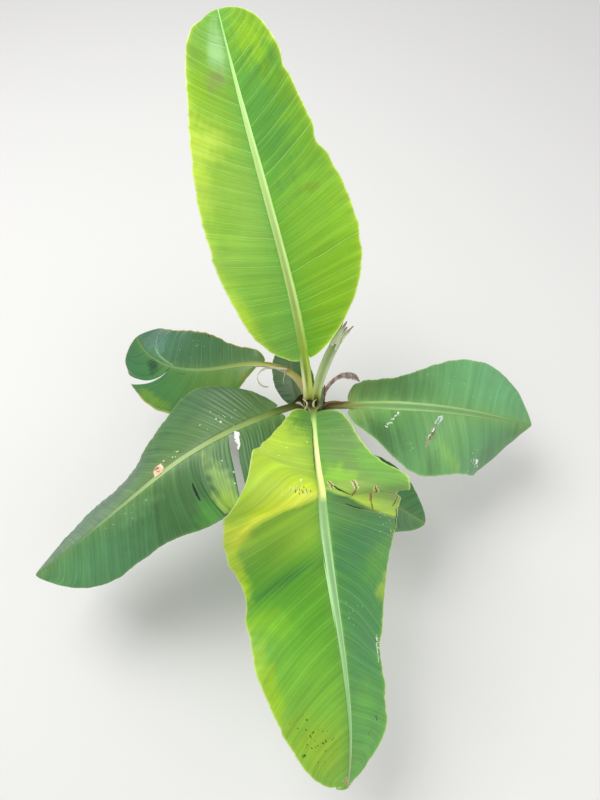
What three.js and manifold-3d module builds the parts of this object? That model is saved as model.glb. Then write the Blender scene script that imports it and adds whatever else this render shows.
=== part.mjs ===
// A young banana plant: a short pseudostem of wrapped sheaths that carries seven leaves, the stalk
// of an eighth leaf whose blade is torn off, and one dry leaf.
// Millimetres, +Z up, origin at the middle of the flat cut at ground level, newest leaf towards +Y.
import * as THREE from "three";
import Module from "manifold-3d";

const wasm = await Module();
wasm.setup();

// Pseudostem: radii at even heights from the ground cut to the crown, where the stalks leave it.
const crownHeight = 328;
const stemRadii = [37, 30.5, 28, 26.5, 25, 23.5, 21.5, 19.5];
const stemBow = 3;
const stemRings = 15;
const stemSides = 30;
const sheathMargins = 3;
const sheathStep = 2.2;
const sheathTwist = 70;
const stepFade = 0.6;

// All leaves
const clearance = 0.3;
const bladeThickness = 0.0105;
const spineSteps = 240;
const bladeStations = 20;
const ribEndHalfWidth = 1.6;
const ribTaper = 1.3;
const ribRoom = 1.06;
const ribDepthRatio = 0.9;
const ribColumns = [0, 0.6, 1];
const ribDepths = [1, 0.75, 0];
const websPerSide = 3;
const foldSpread = 1.2;
const foldsBeforeEnd = 0.4;
const foldsAfterStart = 0.25;

// A stalk's section, in shares of its depth: rim, channel between the rims, and belly below them.
const stalkStations = 9;
const stalkColumns = 7;
const rimHeight = 0.3;
const channelDepth = 0.42;
const bellyTop = 0.12;
const bellyDepth = 0.82;

// Tears run from near the midrib out past the margin.
const tearReaches = [0.07, 0.3, 0.55, 0.8, 1.05, 1.3];
const tearHeight = 14;

// One entry a leaf. Angles are in degrees: heading turns from +X towards +Y, pitch is up from level,
// fold lifts a half of the blade from the midrib and curl bends it on towards its margin. Lists hold
// values at even steps from foot to tip. left and right are the half widths as a sum of sines of the
// place along the blade, so both ends are round. widths and depths are those of the stalk.
const leaves = {
  leaf_top: {
    foot: [-5, 3, 330],
    stalk: 90,
    length: 525,
    heading: [103, 114, 114, 108],
    pitch: [70, 62, 55, 50, 42],
    roll: [-2, 3, 11],
    left: [110, 7, 0, -7, 1, -2],
    right: [114, 7, -2, -11, 1],
    foldLeft: [24, 15, 7, -1],
    foldRight: [21, 15, 11, 11],
    curl: [0, 0],
    widths: [19, 17, 17],
    depths: [9, 10, 9],
    color: 0x8cbf3a,
    stalkColor: 0xb6c46a,
  },
  leaf_front: {
    foot: [3, -10, 328],
    stalk: 40,
    length: 695,
    heading: [270, 273, 280, 277, 264],
    pitch: [45, 27, 30, 29, 12],
    bend: { at: 0.35, by: -61, over: 0.07 },
    roll: [1, 9, 15, 16],
    left: [134, 2, -18, -2, 9, 12, -7],
    right: [139, -8, -18, 0, 7, 5, -1],
    foldLeft: [21, 12, 9],
    foldRight: [23, 20, 52],
    foldLeftAfter: [-4, -31, -33, -19],
    foldRightAfter: [20, -40, -14, 10],
    curl: [0, 0],
    widths: [22, 19, 18],
    depths: [8, 9, 9],
    color: 0x76ad3c,
    stalkColor: 0x8a9a3c,
  },
  leaf_left: {
    foot: [-18, 5, 305],
    stalk: 45,
    length: 542,
    heading: [214, 213, 213, 208],
    pitch: [26, 0, -23, -27],
    roll: [0, -3, -1],
    left: [117, 12, 8, 0, -5, 5],
    right: [118, 15, 13, -4, -13],
    foldLeft: [9, -9, -21, -23],
    foldRight: [10, -12, -38, -41],
    curl: [-8, -9],
    tear: { side: -1, from: 0.21, lean: 0.14, narrow: 0.008, wide: 0.018 },
    widths: [28, 19, 17],
    depths: [8, 9, 9],
    color: 0x4f8a55,
    stalkColor: 0x8a8a40,
  },
  leaf_right: {
    foot: [19, 1, 299],
    stalk: 49,
    length: 408,
    heading: [-2, -1, 2, 8],
    pitch: [17, -4, -23, -35],
    roll: [5, -7, -25],
    left: [127, -19, 5, 11, 2, 4],
    right: [131, -14, -2, -2, -5, 8],
    foldLeft: [-10, -20, -18, -15],
    foldRight: [-5, -18, -26, -41],
    curl: [-8, -12],
    widths: [28, 18, 16],
    depths: [8, 9, 8],
    color: 0x5d9a5f,
    stalkColor: 0x8f8f45,
  },
  leaf_back_left: {
    foot: [-3, 20, 290],
    stalk: 118,
    length: 340,
    heading: [100, 165, 176, 165, 145, 116],
    pitch: [62, 12, -22, -20, -15, -3],
    roll: [-2, 6, 17],
    left: [87, -18, -7, -8, -2, -3],
    right: [89, -13, -2, -1, 5],
    foldLeft: [-6, -15, -19, -19],
    foldRight: [-8, -11, -7, 1],
    curl: [-9, -4],
    tear: { side: -1, from: 0.74, lean: 0.15, narrow: 0.004, wide: 0.01 },
    widths: [26, 20, 14],
    depths: [7, 8, 7],
    color: 0x4c8350,
    stalkColor: 0xb9a878,
  },
  leaf_low_right: {
    foot: [11, -16, 209],
    stalk: 60,
    length: 224,
    heading: [310, 310, 323, 342],
    pitch: [28, 7, -12, -25],
    roll: [0, -2, -4],
    left: [66, -4, -3],
    right: [61, 5, -5],
    foldLeft: [-7, -11, -11],
    foldRight: [-8, -14, -17],
    curl: [-4, -6],
    widths: [24, 13, 11],
    depths: [6, 6, 6],
    color: 0x4a7f4a,
    stalkColor: 0x7f8a48,
  },
  leaf_low_back: {
    foot: [-5, 18, 180],
    stalk: 45,
    length: 165,
    heading: [108, 104, 98],
    pitch: [32, 8, -8, -22],
    roll: [0, 0],
    left: [43, 3, 0],
    right: [45, 3, 0],
    foldLeft: [-8, -12],
    foldRight: [-8, -12],
    curl: [-6, -6],
    widths: [22, 11, 9],
    depths: [6, 6, 5],
    color: 0x3c6238,
    stalkColor: 0x6a7440,
  },
};

// Stalks with no blade: the torn leaf and the strap of the dry leaf.
const straps = {
  torn_leaf_stalk: {
    foot: [12, 7, 329.6],
    stalk: 166,
    heading: [71, 53, 45],
    pitch: [77, 51, 51],
    roll: [0, 0],
    widths: [14, 13, 12, 13, 15],
    depths: [8, 8, 7, 6, 5],
    color: 0xb9c79c,
  },
  dry_leaf: {
    foot: [17, 10, 262],
    stalk: 160,
    heading: [78, 54, 24, 0],
    pitch: [77, 47, -22, -78],
    roll: [0, 0],
    widths: [16, 10, 10, 22, 12],
    depths: [5, 4, 4, 4, 3],
    color: 0x9c8478,
  },
};

const degree = Math.PI / 180;

// Catmull-Rom curve through evenly spaced values, at t from 0 to 1.
function along(values, t) {
  const last = values.length - 1;
  if (last === 0) return values[0];
  const x = Math.min(Math.max(t, 0), 1) * last;
  const i = Math.min(Math.floor(x), last - 1);
  const f = x - i;
  const b = values[i];
  const c = values[i + 1];
  const a = i > 0 ? values[i - 1] : 2 * b - c;
  const d = i + 2 <= last ? values[i + 2] : 2 * c - b;
  const cubic = 3 * b - a - 3 * c + d;
  const square = 2 * a - 5 * b + 4 * c - d;
  return 0.5 * (2 * b + (c - a) * f + square * f * f + cubic * f ** 3);
}

// Smooth rise from 0 to 1 as x goes from 0 to 1.
function ease(x) {
  const y = Math.min(Math.max(x, 0), 1);
  return y * y * (3 - 2 * y);
}

// Arc fraction of the whole leaf, stalk and blade, at u of the blade.
function arcShare(leaf, u) {
  return (leaf.stalk + u * leaf.length) / (leaf.stalk + leaf.length);
}

// Share of the bend that is passed at t, 0 on a leaf that has none.
function bendPassed(leaf, t, spread = 1) {
  if (!leaf.bend) return 0;
  return ease((t - leaf.bend.at) / (leaf.bend.over * spread) + 0.5);
}

function headingAt(leaf, t) {
  return along(leaf.heading, t) * degree;
}

function directionAt(leaf, t) {
  const drop = leaf.bend ? leaf.bend.by * bendPassed(leaf, t) : 0;
  const pitch = (along(leaf.pitch, t) + drop) * degree;
  const heading = headingAt(leaf, t);
  return new THREE.Vector3(
    Math.cos(pitch) * Math.cos(heading),
    Math.cos(pitch) * Math.sin(heading),
    Math.sin(pitch),
  );
}

// The midrib and stalk as points at even steps of arc, found by adding up short lengths.
function spineOf(leaf) {
  const total = leaf.stalk + (leaf.length || 0);
  const points = [new THREE.Vector3(...leaf.foot)];
  for (let i = 0; i < spineSteps; i += 1) {
    const step = directionAt(leaf, (i + 0.5) / spineSteps).multiplyScalar(total / spineSteps);
    points.push(points[i].clone().add(step));
  }
  return points;
}

// Place, direction, right-hand side and upper side of the spine at arc fraction t.
function frameAt(leaf, spine, t) {
  const x = Math.min(Math.max(t, 0), 1) * spineSteps;
  const i = Math.min(Math.floor(x), spineSteps - 1);
  const heading = headingAt(leaf, t);
  const roll = along(leaf.roll, t) * degree;
  const direction = directionAt(leaf, t);
  const level = new THREE.Vector3(Math.sin(heading), -Math.cos(heading), 0);
  const upright = new THREE.Vector3().crossVectors(level, direction);
  return {
    place: spine[i].clone().lerp(spine[i + 1], x - i),
    direction,
    side: level.clone().multiplyScalar(Math.cos(roll)).addScaledVector(upright, Math.sin(roll)),
    up: upright.clone().multiplyScalar(Math.cos(roll)).addScaledVector(level, -Math.sin(roll)),
  };
}

function ribHalfWidth(leaf, u) {
  const start = leaf.widths[leaf.widths.length - 1] / 2;
  return ribEndHalfWidth + (start - ribEndHalfWidth) * (1 - u) ** ribTaper;
}

// Width of one half of the blade at u from 0, its base, to 1, its tip.
function halfWidth(leaf, u, hand) {
  const angle = Math.acos(1 - 2 * u);
  const sines = hand < 0 ? leaf.left : leaf.right;
  const sum = sines.reduce((width, share, k) => width + share * Math.sin((k + 1) * angle), 0);
  return Math.max(sum, ribHalfWidth(leaf, u) * ribRoom);
}

// A bent leaf's folds: one list up to the bend, over the first part of the blade, and one after it.
function foldAt(leaf, u, hand) {
  const before = hand < 0 ? leaf.foldLeft : leaf.foldRight;
  if (!leaf.bend) return along(before, u);
  const after = hand < 0 ? leaf.foldLeftAfter : leaf.foldRightAfter;
  const passed = bendPassed(leaf, arcShare(leaf, u), foldSpread);
  const inner = along(before, u / foldsBeforeEnd);
  const outer = along(after, (u - foldsAfterStart) / (1 - foldsAfterStart));
  return inner * (1 - passed) + outer * passed;
}

// A point of the blade's middle surface, s across: -1 left margin, 0 midrib, 1 right margin.
function bladePoint(leaf, spine, u, s) {
  const hand = s < 0 ? -1 : 1;
  const frame = frameAt(leaf, spine, arcShare(leaf, u));
  const width = halfWidth(leaf, u, hand);
  const fold = foldAt(leaf, u, hand) * degree;
  const curl = (leaf.curl[hand < 0 ? 0 : 1] || 0.01) * degree;
  const reach = Math.abs(s);
  const across = (width * (Math.sin(fold + curl * reach) - Math.sin(fold))) / curl;
  const lift = (width * (Math.cos(fold) - Math.cos(fold + curl * reach))) / curl;
  return frame.place.addScaledVector(frame.side, hand * across).addScaledVector(frame.up, lift);
}

// Upward normal of the middle surface, from the points beside it.
function bladeNormal(leaf, spine, u, s) {
  const du = 0.004;
  const ds = 0.03;
  const ahead = bladePoint(leaf, spine, Math.min(u + du, 1), s);
  const behind = bladePoint(leaf, spine, Math.max(u - du, 0), s);
  const right = bladePoint(leaf, spine, u, s + ds);
  const left = bladePoint(leaf, spine, u, s - ds);
  return right.sub(left).cross(ahead.sub(behind)).normalize();
}

// Places across the blade, in shares of its half width: close together over the midrib, then even.
function columnsAt(leaf, u, hand) {
  const rib = ribHalfWidth(leaf, u) / halfWidth(leaf, u, hand);
  const columns = ribColumns.map((share) => share * rib);
  for (let k = 1; k <= websPerSide; k += 1) columns.push(rib + ((1 - rib) * k) / websPerSide);
  return columns;
}

// One closed ring round the blade at u: its upper points from left to right, its lower ones back.
function bladeRing(leaf, spine, u) {
  const thickness = bladeThickness * (leaf.stalk + leaf.length);
  const ribDepth = ribHalfWidth(leaf, u) * ribDepthRatio;
  const across = [];
  columnsAt(leaf, u, -1).forEach((s, k) => across.unshift({ s: -s, depth: ribDepths[k] || 0 }));
  columnsAt(leaf, u, 1).forEach((s, k) => {
    if (k > 0) across.push({ s, depth: ribDepths[k] || 0 });
  });
  const upper = [];
  const lower = [];
  for (const { s, depth } of across) {
    const place = bladePoint(leaf, spine, u, s);
    const normal = bladeNormal(leaf, spine, u, s);
    upper.push(place.clone().addScaledVector(normal, thickness / 2));
    lower.unshift(place.clone().addScaledVector(normal, -thickness / 2 - ribDepth * depth));
  }
  return [...upper, ...lower];
}

// One closed ring round a stalk: a channel on its upper side and a round belly below.
function stalkRing(frame, width, depth) {
  const upper = [];
  const lower = [];
  for (let k = 0; k < stalkColumns; k += 1) {
    const angle = (Math.PI * k) / (stalkColumns - 1);
    const across = (-Math.cos(angle) * width) / 2;
    const dip = Math.sin(angle) ** 2;
    upper.push([across, (rimHeight - channelDepth * dip) * depth]);
    lower.unshift([across, (bellyTop - bellyDepth * Math.sin(angle)) * depth]);
  }
  return [...upper, ...lower].map(([x, z]) =>
    frame.place.clone().addScaledVector(frame.side, x).addScaledVector(frame.up, z),
  );
}

// A ring pressed flat on the plane across the spine and moved along it by the given distance.
function endRing(ring, frame, shift) {
  return ring.map((point) => {
    const off = shift - point.clone().sub(frame.place).dot(frame.direction);
    return point.clone().addScaledVector(frame.direction, off);
  });
}

// Closed solid through rings of equal count, whose first half is the upper side.
function loft(rings) {
  const count = rings[0].length;
  const half = count / 2;
  const last = (rings.length - 1) * count;
  const faces = [];
  for (let i = 0; i + 1 < rings.length; i += 1) {
    for (let j = 0; j < count; j += 1) {
      const a = i * count + j;
      const b = i * count + ((j + 1) % count);
      faces.push(a, b, b + count, a, b + count, a + count);
    }
  }
  for (let k = 0; k + 1 < half; k += 1) {
    const below = count - 1 - k;
    faces.push(k, below, below - 1, k, below - 1, k + 1);
    faces.push(last + k, last + below - 1, last + below, last + k, last + k + 1, last + below - 1);
  }
  const places = rings.flat().flatMap((point) => point.toArray());
  const mesh = new wasm.Mesh({
    numProp: 3,
    vertProperties: new Float32Array(places),
    triVerts: new Uint32Array(faces),
  });
  return new wasm.Manifold(mesh);
}

// The pseudostem's rings: a taper with a flare at the ground and the steps of its sheath margins.
// Grown by a clearance, it is the room that the stalks are cut clear of.
function stemSolid(grow) {
  const rings = [];
  for (let i = 0; i <= stemRings; i += 1) {
    const t = i / stemRings;
    const ring = [];
    for (let k = 0; k < stemSides; k += 1) {
      const angle = (2 * Math.PI * k) / stemSides;
      const turns = (((angle / degree - sheathTwist * t) * sheathMargins) / 360) % 1;
      const step = sheathStep * (turns < 0 ? -turns : 1 - turns) * (1 - stepFade * t);
      const radius = along(stemRadii, t) + step - sheathStep / 2 + grow;
      const bow = stemBow * Math.sin(Math.PI * t);
      ring.push(
        new THREE.Vector3(
          radius * Math.cos(angle) + bow,
          radius * Math.sin(angle),
          t * crownHeight + (t > 0.5 ? grow : 0),
        ),
      );
    }
    rings.push(ring);
  }
  return loft(rings);
}

function stalkSolid(leaf, spine) {
  const total = leaf.stalk + (leaf.length || 0);
  const rings = [];
  for (let i = 0; i < stalkStations; i += 1) {
    const share = i / (stalkStations - 1);
    const frame = frameAt(leaf, spine, (share * leaf.stalk) / total);
    rings.push(stalkRing(frame, along(leaf.widths, share), along(leaf.depths, share)));
  }
  return loft(rings);
}

// Blade from uFrom to uTo, closer stations at its round ends. Its ends are flat, and the first stands
// off by the clearance from whatever it grows on from.
function bladeSolid(leaf, spine, uFrom, uTo) {
  const first = Math.acos(1 - 2 * uFrom);
  const last = Math.acos(1 - 2 * uTo);
  const count = Math.max(7, Math.round((bladeStations * (last - first)) / Math.PI));
  const rings = [];
  for (let i = 0; i <= count; i += 1) {
    const u = (1 - Math.cos(first + ((last - first) * i) / count)) / 2;
    rings.push(bladeRing(leaf, spine, u));
  }
  rings[0] = endRing(rings[0], frameAt(leaf, spine, arcShare(leaf, uFrom)), clearance);
  rings[count] = endRing(rings[count], frameAt(leaf, spine, arcShare(leaf, uTo)), 0);
  return loft(rings);
}

// Wedge that opens towards the margin, along the leaning side veins, for a tear in the blade.
function tearSolid(leaf, spine) {
  const { side, from, lean, narrow, wide } = leaf.tear;
  const rings = tearReaches.map((s) => {
    const middle = from + lean * s;
    const ends = [middle - (narrow + wide * s), middle + (narrow + wide * s)];
    const corners = ends.map((u) => bladePoint(leaf, spine, u, side * s));
    const normals = ends.map((u) => bladeNormal(leaf, spine, u, side * s));
    const above = corners.map((point, k) => point.clone().addScaledVector(normals[k], tearHeight));
    const below = corners.map((point, k) => point.clone().addScaledVector(normals[k], -tearHeight));
    return side < 0 ? [above[0], above[1], below[1], below[0]] : [above[1], above[0], below[0], below[1]];
  });
  return loft(rings);
}

// The largest body of a solid, without the scraps that a cut can leave.
function largest(solid) {
  return solid.decompose().reduce((best, piece) => (piece.volume() > best.volume() ? piece : best));
}

function geometryOf(solid) {
  const mesh = solid.getMesh();
  const places = new Float32Array(mesh.numVert * 3);
  for (let i = 0; i < mesh.numVert; i += 1) {
    const start = i * mesh.numProp;
    places.set(mesh.vertProperties.subarray(start, start + 3), i * 3);
  }
  const geometry = new THREE.BufferGeometry();
  geometry.setAttribute("position", new THREE.BufferAttribute(places, 3));
  geometry.setIndex(new THREE.BufferAttribute(new Uint32Array(mesh.triVerts), 1));
  geometry.computeVertexNormals();
  return geometry;
}

const plant = new THREE.Group();
plant.name = "banana_plant";

function addPiece(name, solid, color, roughness) {
  const material = new THREE.MeshStandardMaterial({ color, roughness, metalness: 0 });
  const mesh = new THREE.Mesh(geometryOf(solid), material);
  mesh.name = name;
  plant.add(mesh);
}

addPiece("pseudostem", stemSolid(0), 0x7d8a52, 0.6);
const stemRoom = stemSolid(clearance);

for (const [name, leaf] of Object.entries(leaves)) {
  const spine = spineOf(leaf);
  const stalk = largest(stalkSolid(leaf, spine).subtract(stemRoom));
  addPiece(name + "_stalk", stalk, leaf.stalkColor, 0.5);
  if (leaf.bend) {
    const total = leaf.stalk + leaf.length;
    const split = (leaf.bend.at * total - leaf.stalk) / leaf.length;
    addPiece(name + "_blade_inner", bladeSolid(leaf, spine, 0, split), leaf.color, 0.45);
    addPiece(name + "_blade_outer", bladeSolid(leaf, spine, split, 1), leaf.color, 0.45);
  } else {
    const whole = bladeSolid(leaf, spine, 0, 1);
    const blade = leaf.tear ? largest(whole.subtract(tearSolid(leaf, spine))) : whole;
    addPiece(name + "_blade", blade, leaf.color, 0.45);
  }
}

for (const [name, strap] of Object.entries(straps)) {
  const solid = largest(stalkSolid(strap, spineOf(strap)).subtract(stemRoom));
  addPiece(name, solid, strap.color, 0.7);
}

export default plant;
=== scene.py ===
import bpy
import numpy as np
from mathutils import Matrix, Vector


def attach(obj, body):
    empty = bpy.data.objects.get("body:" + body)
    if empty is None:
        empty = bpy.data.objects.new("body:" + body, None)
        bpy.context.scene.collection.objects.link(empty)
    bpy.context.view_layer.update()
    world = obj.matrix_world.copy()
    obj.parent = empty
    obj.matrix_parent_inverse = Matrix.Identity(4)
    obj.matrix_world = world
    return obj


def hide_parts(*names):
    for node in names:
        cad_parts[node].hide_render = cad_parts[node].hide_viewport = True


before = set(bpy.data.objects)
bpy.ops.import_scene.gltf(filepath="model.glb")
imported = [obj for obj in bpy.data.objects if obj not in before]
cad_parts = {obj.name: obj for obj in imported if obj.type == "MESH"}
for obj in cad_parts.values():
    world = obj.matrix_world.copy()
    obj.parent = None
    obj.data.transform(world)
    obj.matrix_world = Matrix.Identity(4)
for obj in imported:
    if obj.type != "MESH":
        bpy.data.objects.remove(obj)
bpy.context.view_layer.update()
print("frame loaded")

degree = np.pi / 180
mm = 0.001
tiny = 1e-9


# web colours as linear light: one gives an array of 3, several give a row for each
def rgb(codes):
    made = []
    for code in codes.split():
        c = np.array([int(code[k : k + 2], 16) for k in (1, 3, 5)]) / 255
        made.append(np.where(c <= 0.04045, c / 12.92, ((c + 0.055) / 1.055) ** 2.4))
    return np.array(made) if len(made) > 1 else made[0]


# Catmull-Rom curve through evenly spaced values, read at shares from 0 to 1
def along(values, share):
    v = np.asarray(values, float)
    share = np.asarray(share, float)
    last = len(v) - 1
    if last == 0:
        return np.broadcast_to(v[0], share.shape + v.shape[1:]).copy()
    x = np.clip(share, 0, 1) * last
    i = np.minimum(x.astype(int), last - 1)
    f = (x - i).reshape(x.shape + (1,) * (v.ndim - 1))
    ends = np.concatenate([2 * v[:1] - v[1:2], v, 2 * v[-1:] - v[-2:-1]])
    a, b, c, d = (ends[i + k] for k in range(4))
    cubic = (3 * b - a - 3 * c + d) * f**3
    return 0.5 * (2 * b + (c - a) * f + (2 * a - 5 * b + 4 * c - d) * f**2 + cubic)


# smooth rise from 0 to 1 as x goes from 0 to 1
def ease(x):
    x = np.clip(x, 0, 1)
    return x * x * (3 - 2 * x)


# gentle unevenness from -1 to 1: the sum of eight sine waves of about one length, seeded
def drift(x, y, length, seed):
    draw = np.random.default_rng(seed)
    total = 0
    for heading, wave, phase in draw.uniform([0, 0.6, 0], [np.pi, 1.7, 2 * np.pi], (8, 3)):
        total = total + np.sin((x * np.cos(heading) + y * np.sin(heading)) * 2 * np.pi / (wave * length) + phase)
    return np.clip(total / 4, -1, 1)


def mixTint(tint, other, share):
    share = np.clip(np.asarray(share), 0, 1)[..., None]
    return tint * (1 - share) + other * share


def unit(v):
    return v / np.maximum(np.linalg.norm(v, axis=-1, keepdims=True), tiny)


# Closed surface through rings of equal count: rings is stations by points by 3, in millimetres. A
# ring's first half is its upper side, so a cap joins each upper point to the lower one under it.
def loft(rings, flatRims=False):
    stations, count, _ = rings.shape
    index = np.arange(stations * count).reshape(stations, count)
    near, far = index[:-1], index[1:]
    turn = np.roll(np.arange(count), -1)
    quads = np.stack([near, near[:, turn], far[:, turn], far], -1).reshape(-1, 4)
    half = count // 2
    k = np.arange(half - 1)
    cap = np.stack([k, count - 1 - k, count - 2 - k, k + 1], -1)
    faces = np.concatenate([quads, cap, cap[:, ::-1] + index[-1, 0]])
    smooth = np.arange(len(faces)) < len(quads)
    if flatRims:
        rim = np.isin(np.arange(count), [half - 1, count - 1])
        smooth[: len(quads)] = ~np.tile(rim, stations - 1)
    points = rings.reshape(-1, 3)
    corners = points[faces]
    normals = np.cross(corners[:, 2] - corners[:, 0], corners[:, 3] - corners[:, 1])
    if (normals * corners.mean(1)).sum() < 0:
        faces = faces[:, ::-1]
    return points, faces, smooth


# One object from closed surfaces. Each surface is (points, faces, smooth, values), where values are
# the numbers and tints that its points carry for the material.
def objectOf(name, surfaces, material, *replaced, slot):
    points = np.concatenate([s[0] for s in surfaces]) * mm
    starts = np.cumsum([0] + [len(s[0]) for s in surfaces[:-1]])
    faces = np.concatenate([s[1] + start for s, start in zip(surfaces, starts)])
    mesh = bpy.data.meshes.new(name)
    mesh.vertices.add(len(points))
    mesh.vertices.foreach_set("co", points.astype(np.float32).ravel())
    mesh.loops.add(faces.size)
    mesh.loops.foreach_set("vertex_index", faces.astype(np.int32).ravel())
    mesh.polygons.add(len(faces))
    mesh.polygons.foreach_set("loop_start", np.arange(0, faces.size, 4, dtype=np.int32))
    mesh.polygons.foreach_set("use_smooth", np.concatenate([s[2] for s in surfaces]))
    for key in surfaces[0][3]:
        data = np.concatenate([np.asarray(s[3][key], float).reshape(len(s[0]), -1) for s in surfaces])
        kind, field = "FLOAT", "value"
        if data.shape[1] == 3:
            data = np.concatenate([np.clip(data, 0, 1), np.ones((len(data), 1))], 1)
            kind, field = "FLOAT_COLOR", "color"
        held = mesh.attributes.new(key, kind, "POINT")
        held.data.foreach_set(field, data.astype(np.float32).ravel())
    mesh.update(calc_edges=True)
    mesh.validate()
    mesh.materials.append(material)
    made = linked(name, mesh)
    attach(made, "root")
    if replaced:
        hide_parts(*replaced)
    print("made", name, len(faces) * 2, "triangles")


def linked(name, data):
    made = bpy.data.objects.new(name, data)
    bpy.context.scene.collection.objects.link(made)
    return made


# Materials


# a shader socket that takes part in sums
class Wire:
    def __init__(self, paint, socket):
        self.paint, self.socket = paint, socket

    def maths(self, operation, *others):
        return self.paint.node("ShaderNodeMath", {"operation": operation}, dict(enumerate((self,) + others)))

    def __add__(self, other):
        return self.maths("ADD", other)

    def __sub__(self, other):
        return self.maths("SUBTRACT", other)

    def __mul__(self, other):
        return self.maths("MULTIPLY", other)

    def __rsub__(self, other):
        return self.paint.node("ShaderNodeMath", {"operation": "SUBTRACT"}, {0: other, 1: self})

    __radd__ = __add__
    __rmul__ = __mul__


# a material under construction: node() adds any node, with its settings first and its inputs after
class Paint:
    def __init__(self, name):
        self.material = bpy.data.materials.new(name)
        self.material.use_nodes = True
        self.tree = self.material.node_tree

    def node(self, kind, settings=None, inputs=None, output=0):
        made = self.tree.nodes.new(kind)
        for key, value in (settings or {}).items():
            setattr(made, key, value)
        for key, value in (inputs or {}).items():
            self.feed(made.inputs[key], value)
        return Wire(self, made.outputs[output])

    def feed(self, socket, value):
        if isinstance(value, Wire):
            self.tree.links.new(value.socket, socket)
        else:
            socket.default_value = value

    def carried(self, name, output="Fac"):
        return self.node("ShaderNodeAttribute", {"attribute_name": name}, output=output)

    # noise on the object's own coordinates, or on one number where w is given
    def noise(self, scale, detail=2.0, w=None):
        if w is None:
            settings, place = {}, {"Vector": self.node("ShaderNodeTexCoord", output="Object")}
        else:
            settings, place = {"noise_dimensions": "1D"}, {"W": w}
        return self.node("ShaderNodeTexNoise", settings, {**place, "Scale": scale, "Detail": detail})

    def ramp(self, value, low, high):
        return self.node("ShaderNodeMapRange", {"interpolation_type": "SMOOTHSTEP"}, {0: value, 1: low, 2: high})

    # the carried tint made lighter or darker: every channel times the factor
    def lit(self, factor):
        grey = self.node("ShaderNodeCombineColor", {}, {0: factor, 1: factor, 2: factor})
        return self.mixed("MULTIPLY", 1.0, self.carried("tint", "Color"), grey)

    def mixed(self, blend, factor, one, other):
        settings = {"data_type": "RGBA", "blend_type": blend, "clamp_result": True}
        return self.node("ShaderNodeMix", settings, {0: factor, 6: one, 7: other}, output=2)

    def finish(self, **sockets):
        shader = self.tree.nodes["Principled BSDF"]
        for name, value in sockets.items():
            self.feed(shader.inputs[name.replace("_", " ")], value)
        return self.material

    # a living or dry surface: rougher than its gloss says where it is dry, and by its blotches
    def grown(self, tint, gloss, blotch, spread, height, strength, distance):
        rough = (blotch - 0.5) * spread + self.carried("dryness") * skinSet["dryRough"] + gloss
        bumps = self.node("ShaderNodeBump", {}, {"Height": height, "Strength": strength, "Distance": distance})
        return self.finish(Base_Color=tint, Roughness=rough, Normal=bumps, Specular_IOR_Level=skinSet["specular"])


skinSet = dict(
    veinWander=(30, 0.3),  # scale and reach of the noise that bends the side veins
    veinWidth=(0.015, 0.14),  # half of a side vein's core and of the whole, as shares of the space between veins
    veinStrength=(0.83, 37.0, 0.36, 0.7),  # noise for each pleat, where it is read, none below, full above
    fineVeins=(3.6, 0.2),  # waves for each pleat, shade
    bands=(0.5, 0.26),
    mottle=(22, 0.22, 0.16),  # scale in space, shade, spread of gloss
    grain=(420, 0.14),
    lineShade=0.1,
    heights=(0.6, 0.25),  # shares of lines and grain in the bumps
    bump=(0.6, 0.0003),  # strength, metres
    dryRough=0.35,
    specular=0.45,
)


# Leaf skin: the painted tint, lined along the side veins. linePlace counts the pleats, so a thin pale
# line runs where it is whole, of a strength that noise on it gives, among finer veins and broad bands,
# which are noise on the same number. Noise in space mottles it.
def leafSkin(name, gloss, veinShade, veinTint):
    p, s = Paint(name), skinSet
    vein = p.carried("linePlace") + (p.noise(s["veinWander"][0]) - 0.5) * s["veinWander"][1]
    often, offset, none, full = s["veinStrength"]
    strength = p.ramp(p.noise(often, 1, vein + offset), none, full)
    line = (1.0 - p.ramp(vein.maths("PINGPONG", 0.5), *s["veinWidth"])) * strength
    fine = p.noise(s["fineVeins"][0], 2, vein)
    band = p.noise(s["bands"][0], 1, vein)
    mottle = p.noise(s["mottle"][0], 4)
    grain = p.noise(s["grain"][0])
    shade = line * s["lineShade"] + (fine - 0.5) * s["fineVeins"][1] + (band - 0.5) * s["bands"][1]
    shade = shade + (mottle - 0.5) * s["mottle"][1] + (grain - 0.5) * s["grain"][1] + 1.0
    tint = p.mixed("MIX", line * veinShade, p.lit(shade), (*rgb(veinTint), 1))
    lines, grains = s["heights"]
    return p.grown(tint, gloss, mottle, s["mottle"][2], fine * lines + line * lines + grain * grains, *s["bump"])


fleshSet = dict(
    wander=(9, 3),  # scale and reach of the noise that the fibres drift by
    fibres=1.3,  # waves for each millimetre round the section
    blotch=(38, 0.25, 0.2),  # scale, shade, spread of gloss
    grain=(500, 0.15, 0.2),  # scale, shade, height
    bump=0.7,
)


# Stalk and sheath flesh: fibres that run lengthwise, noise on the distance round the section with a
# slow drift along it.
def fleshSkin(name, gloss, fibreShade, height):
    p, s = Paint(name), fleshSet
    wander = p.noise(s["wander"][0])
    fibre = p.noise(s["fibres"], 2, p.carried("linePlace") + wander * s["wander"][1])
    blotch = p.noise(s["blotch"][0], 4)
    grain = p.noise(s["grain"][0])
    shade = (fibre - 0.5) * fibreShade + (blotch - 0.5) * s["blotch"][1] + (grain - 0.5) * s["grain"][1] + 1.0
    bumps = fibre + grain * s["grain"][2]
    return p.grown(p.lit(shade), gloss, blotch, s["blotch"][2], bumps, s["bump"], height)


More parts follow.
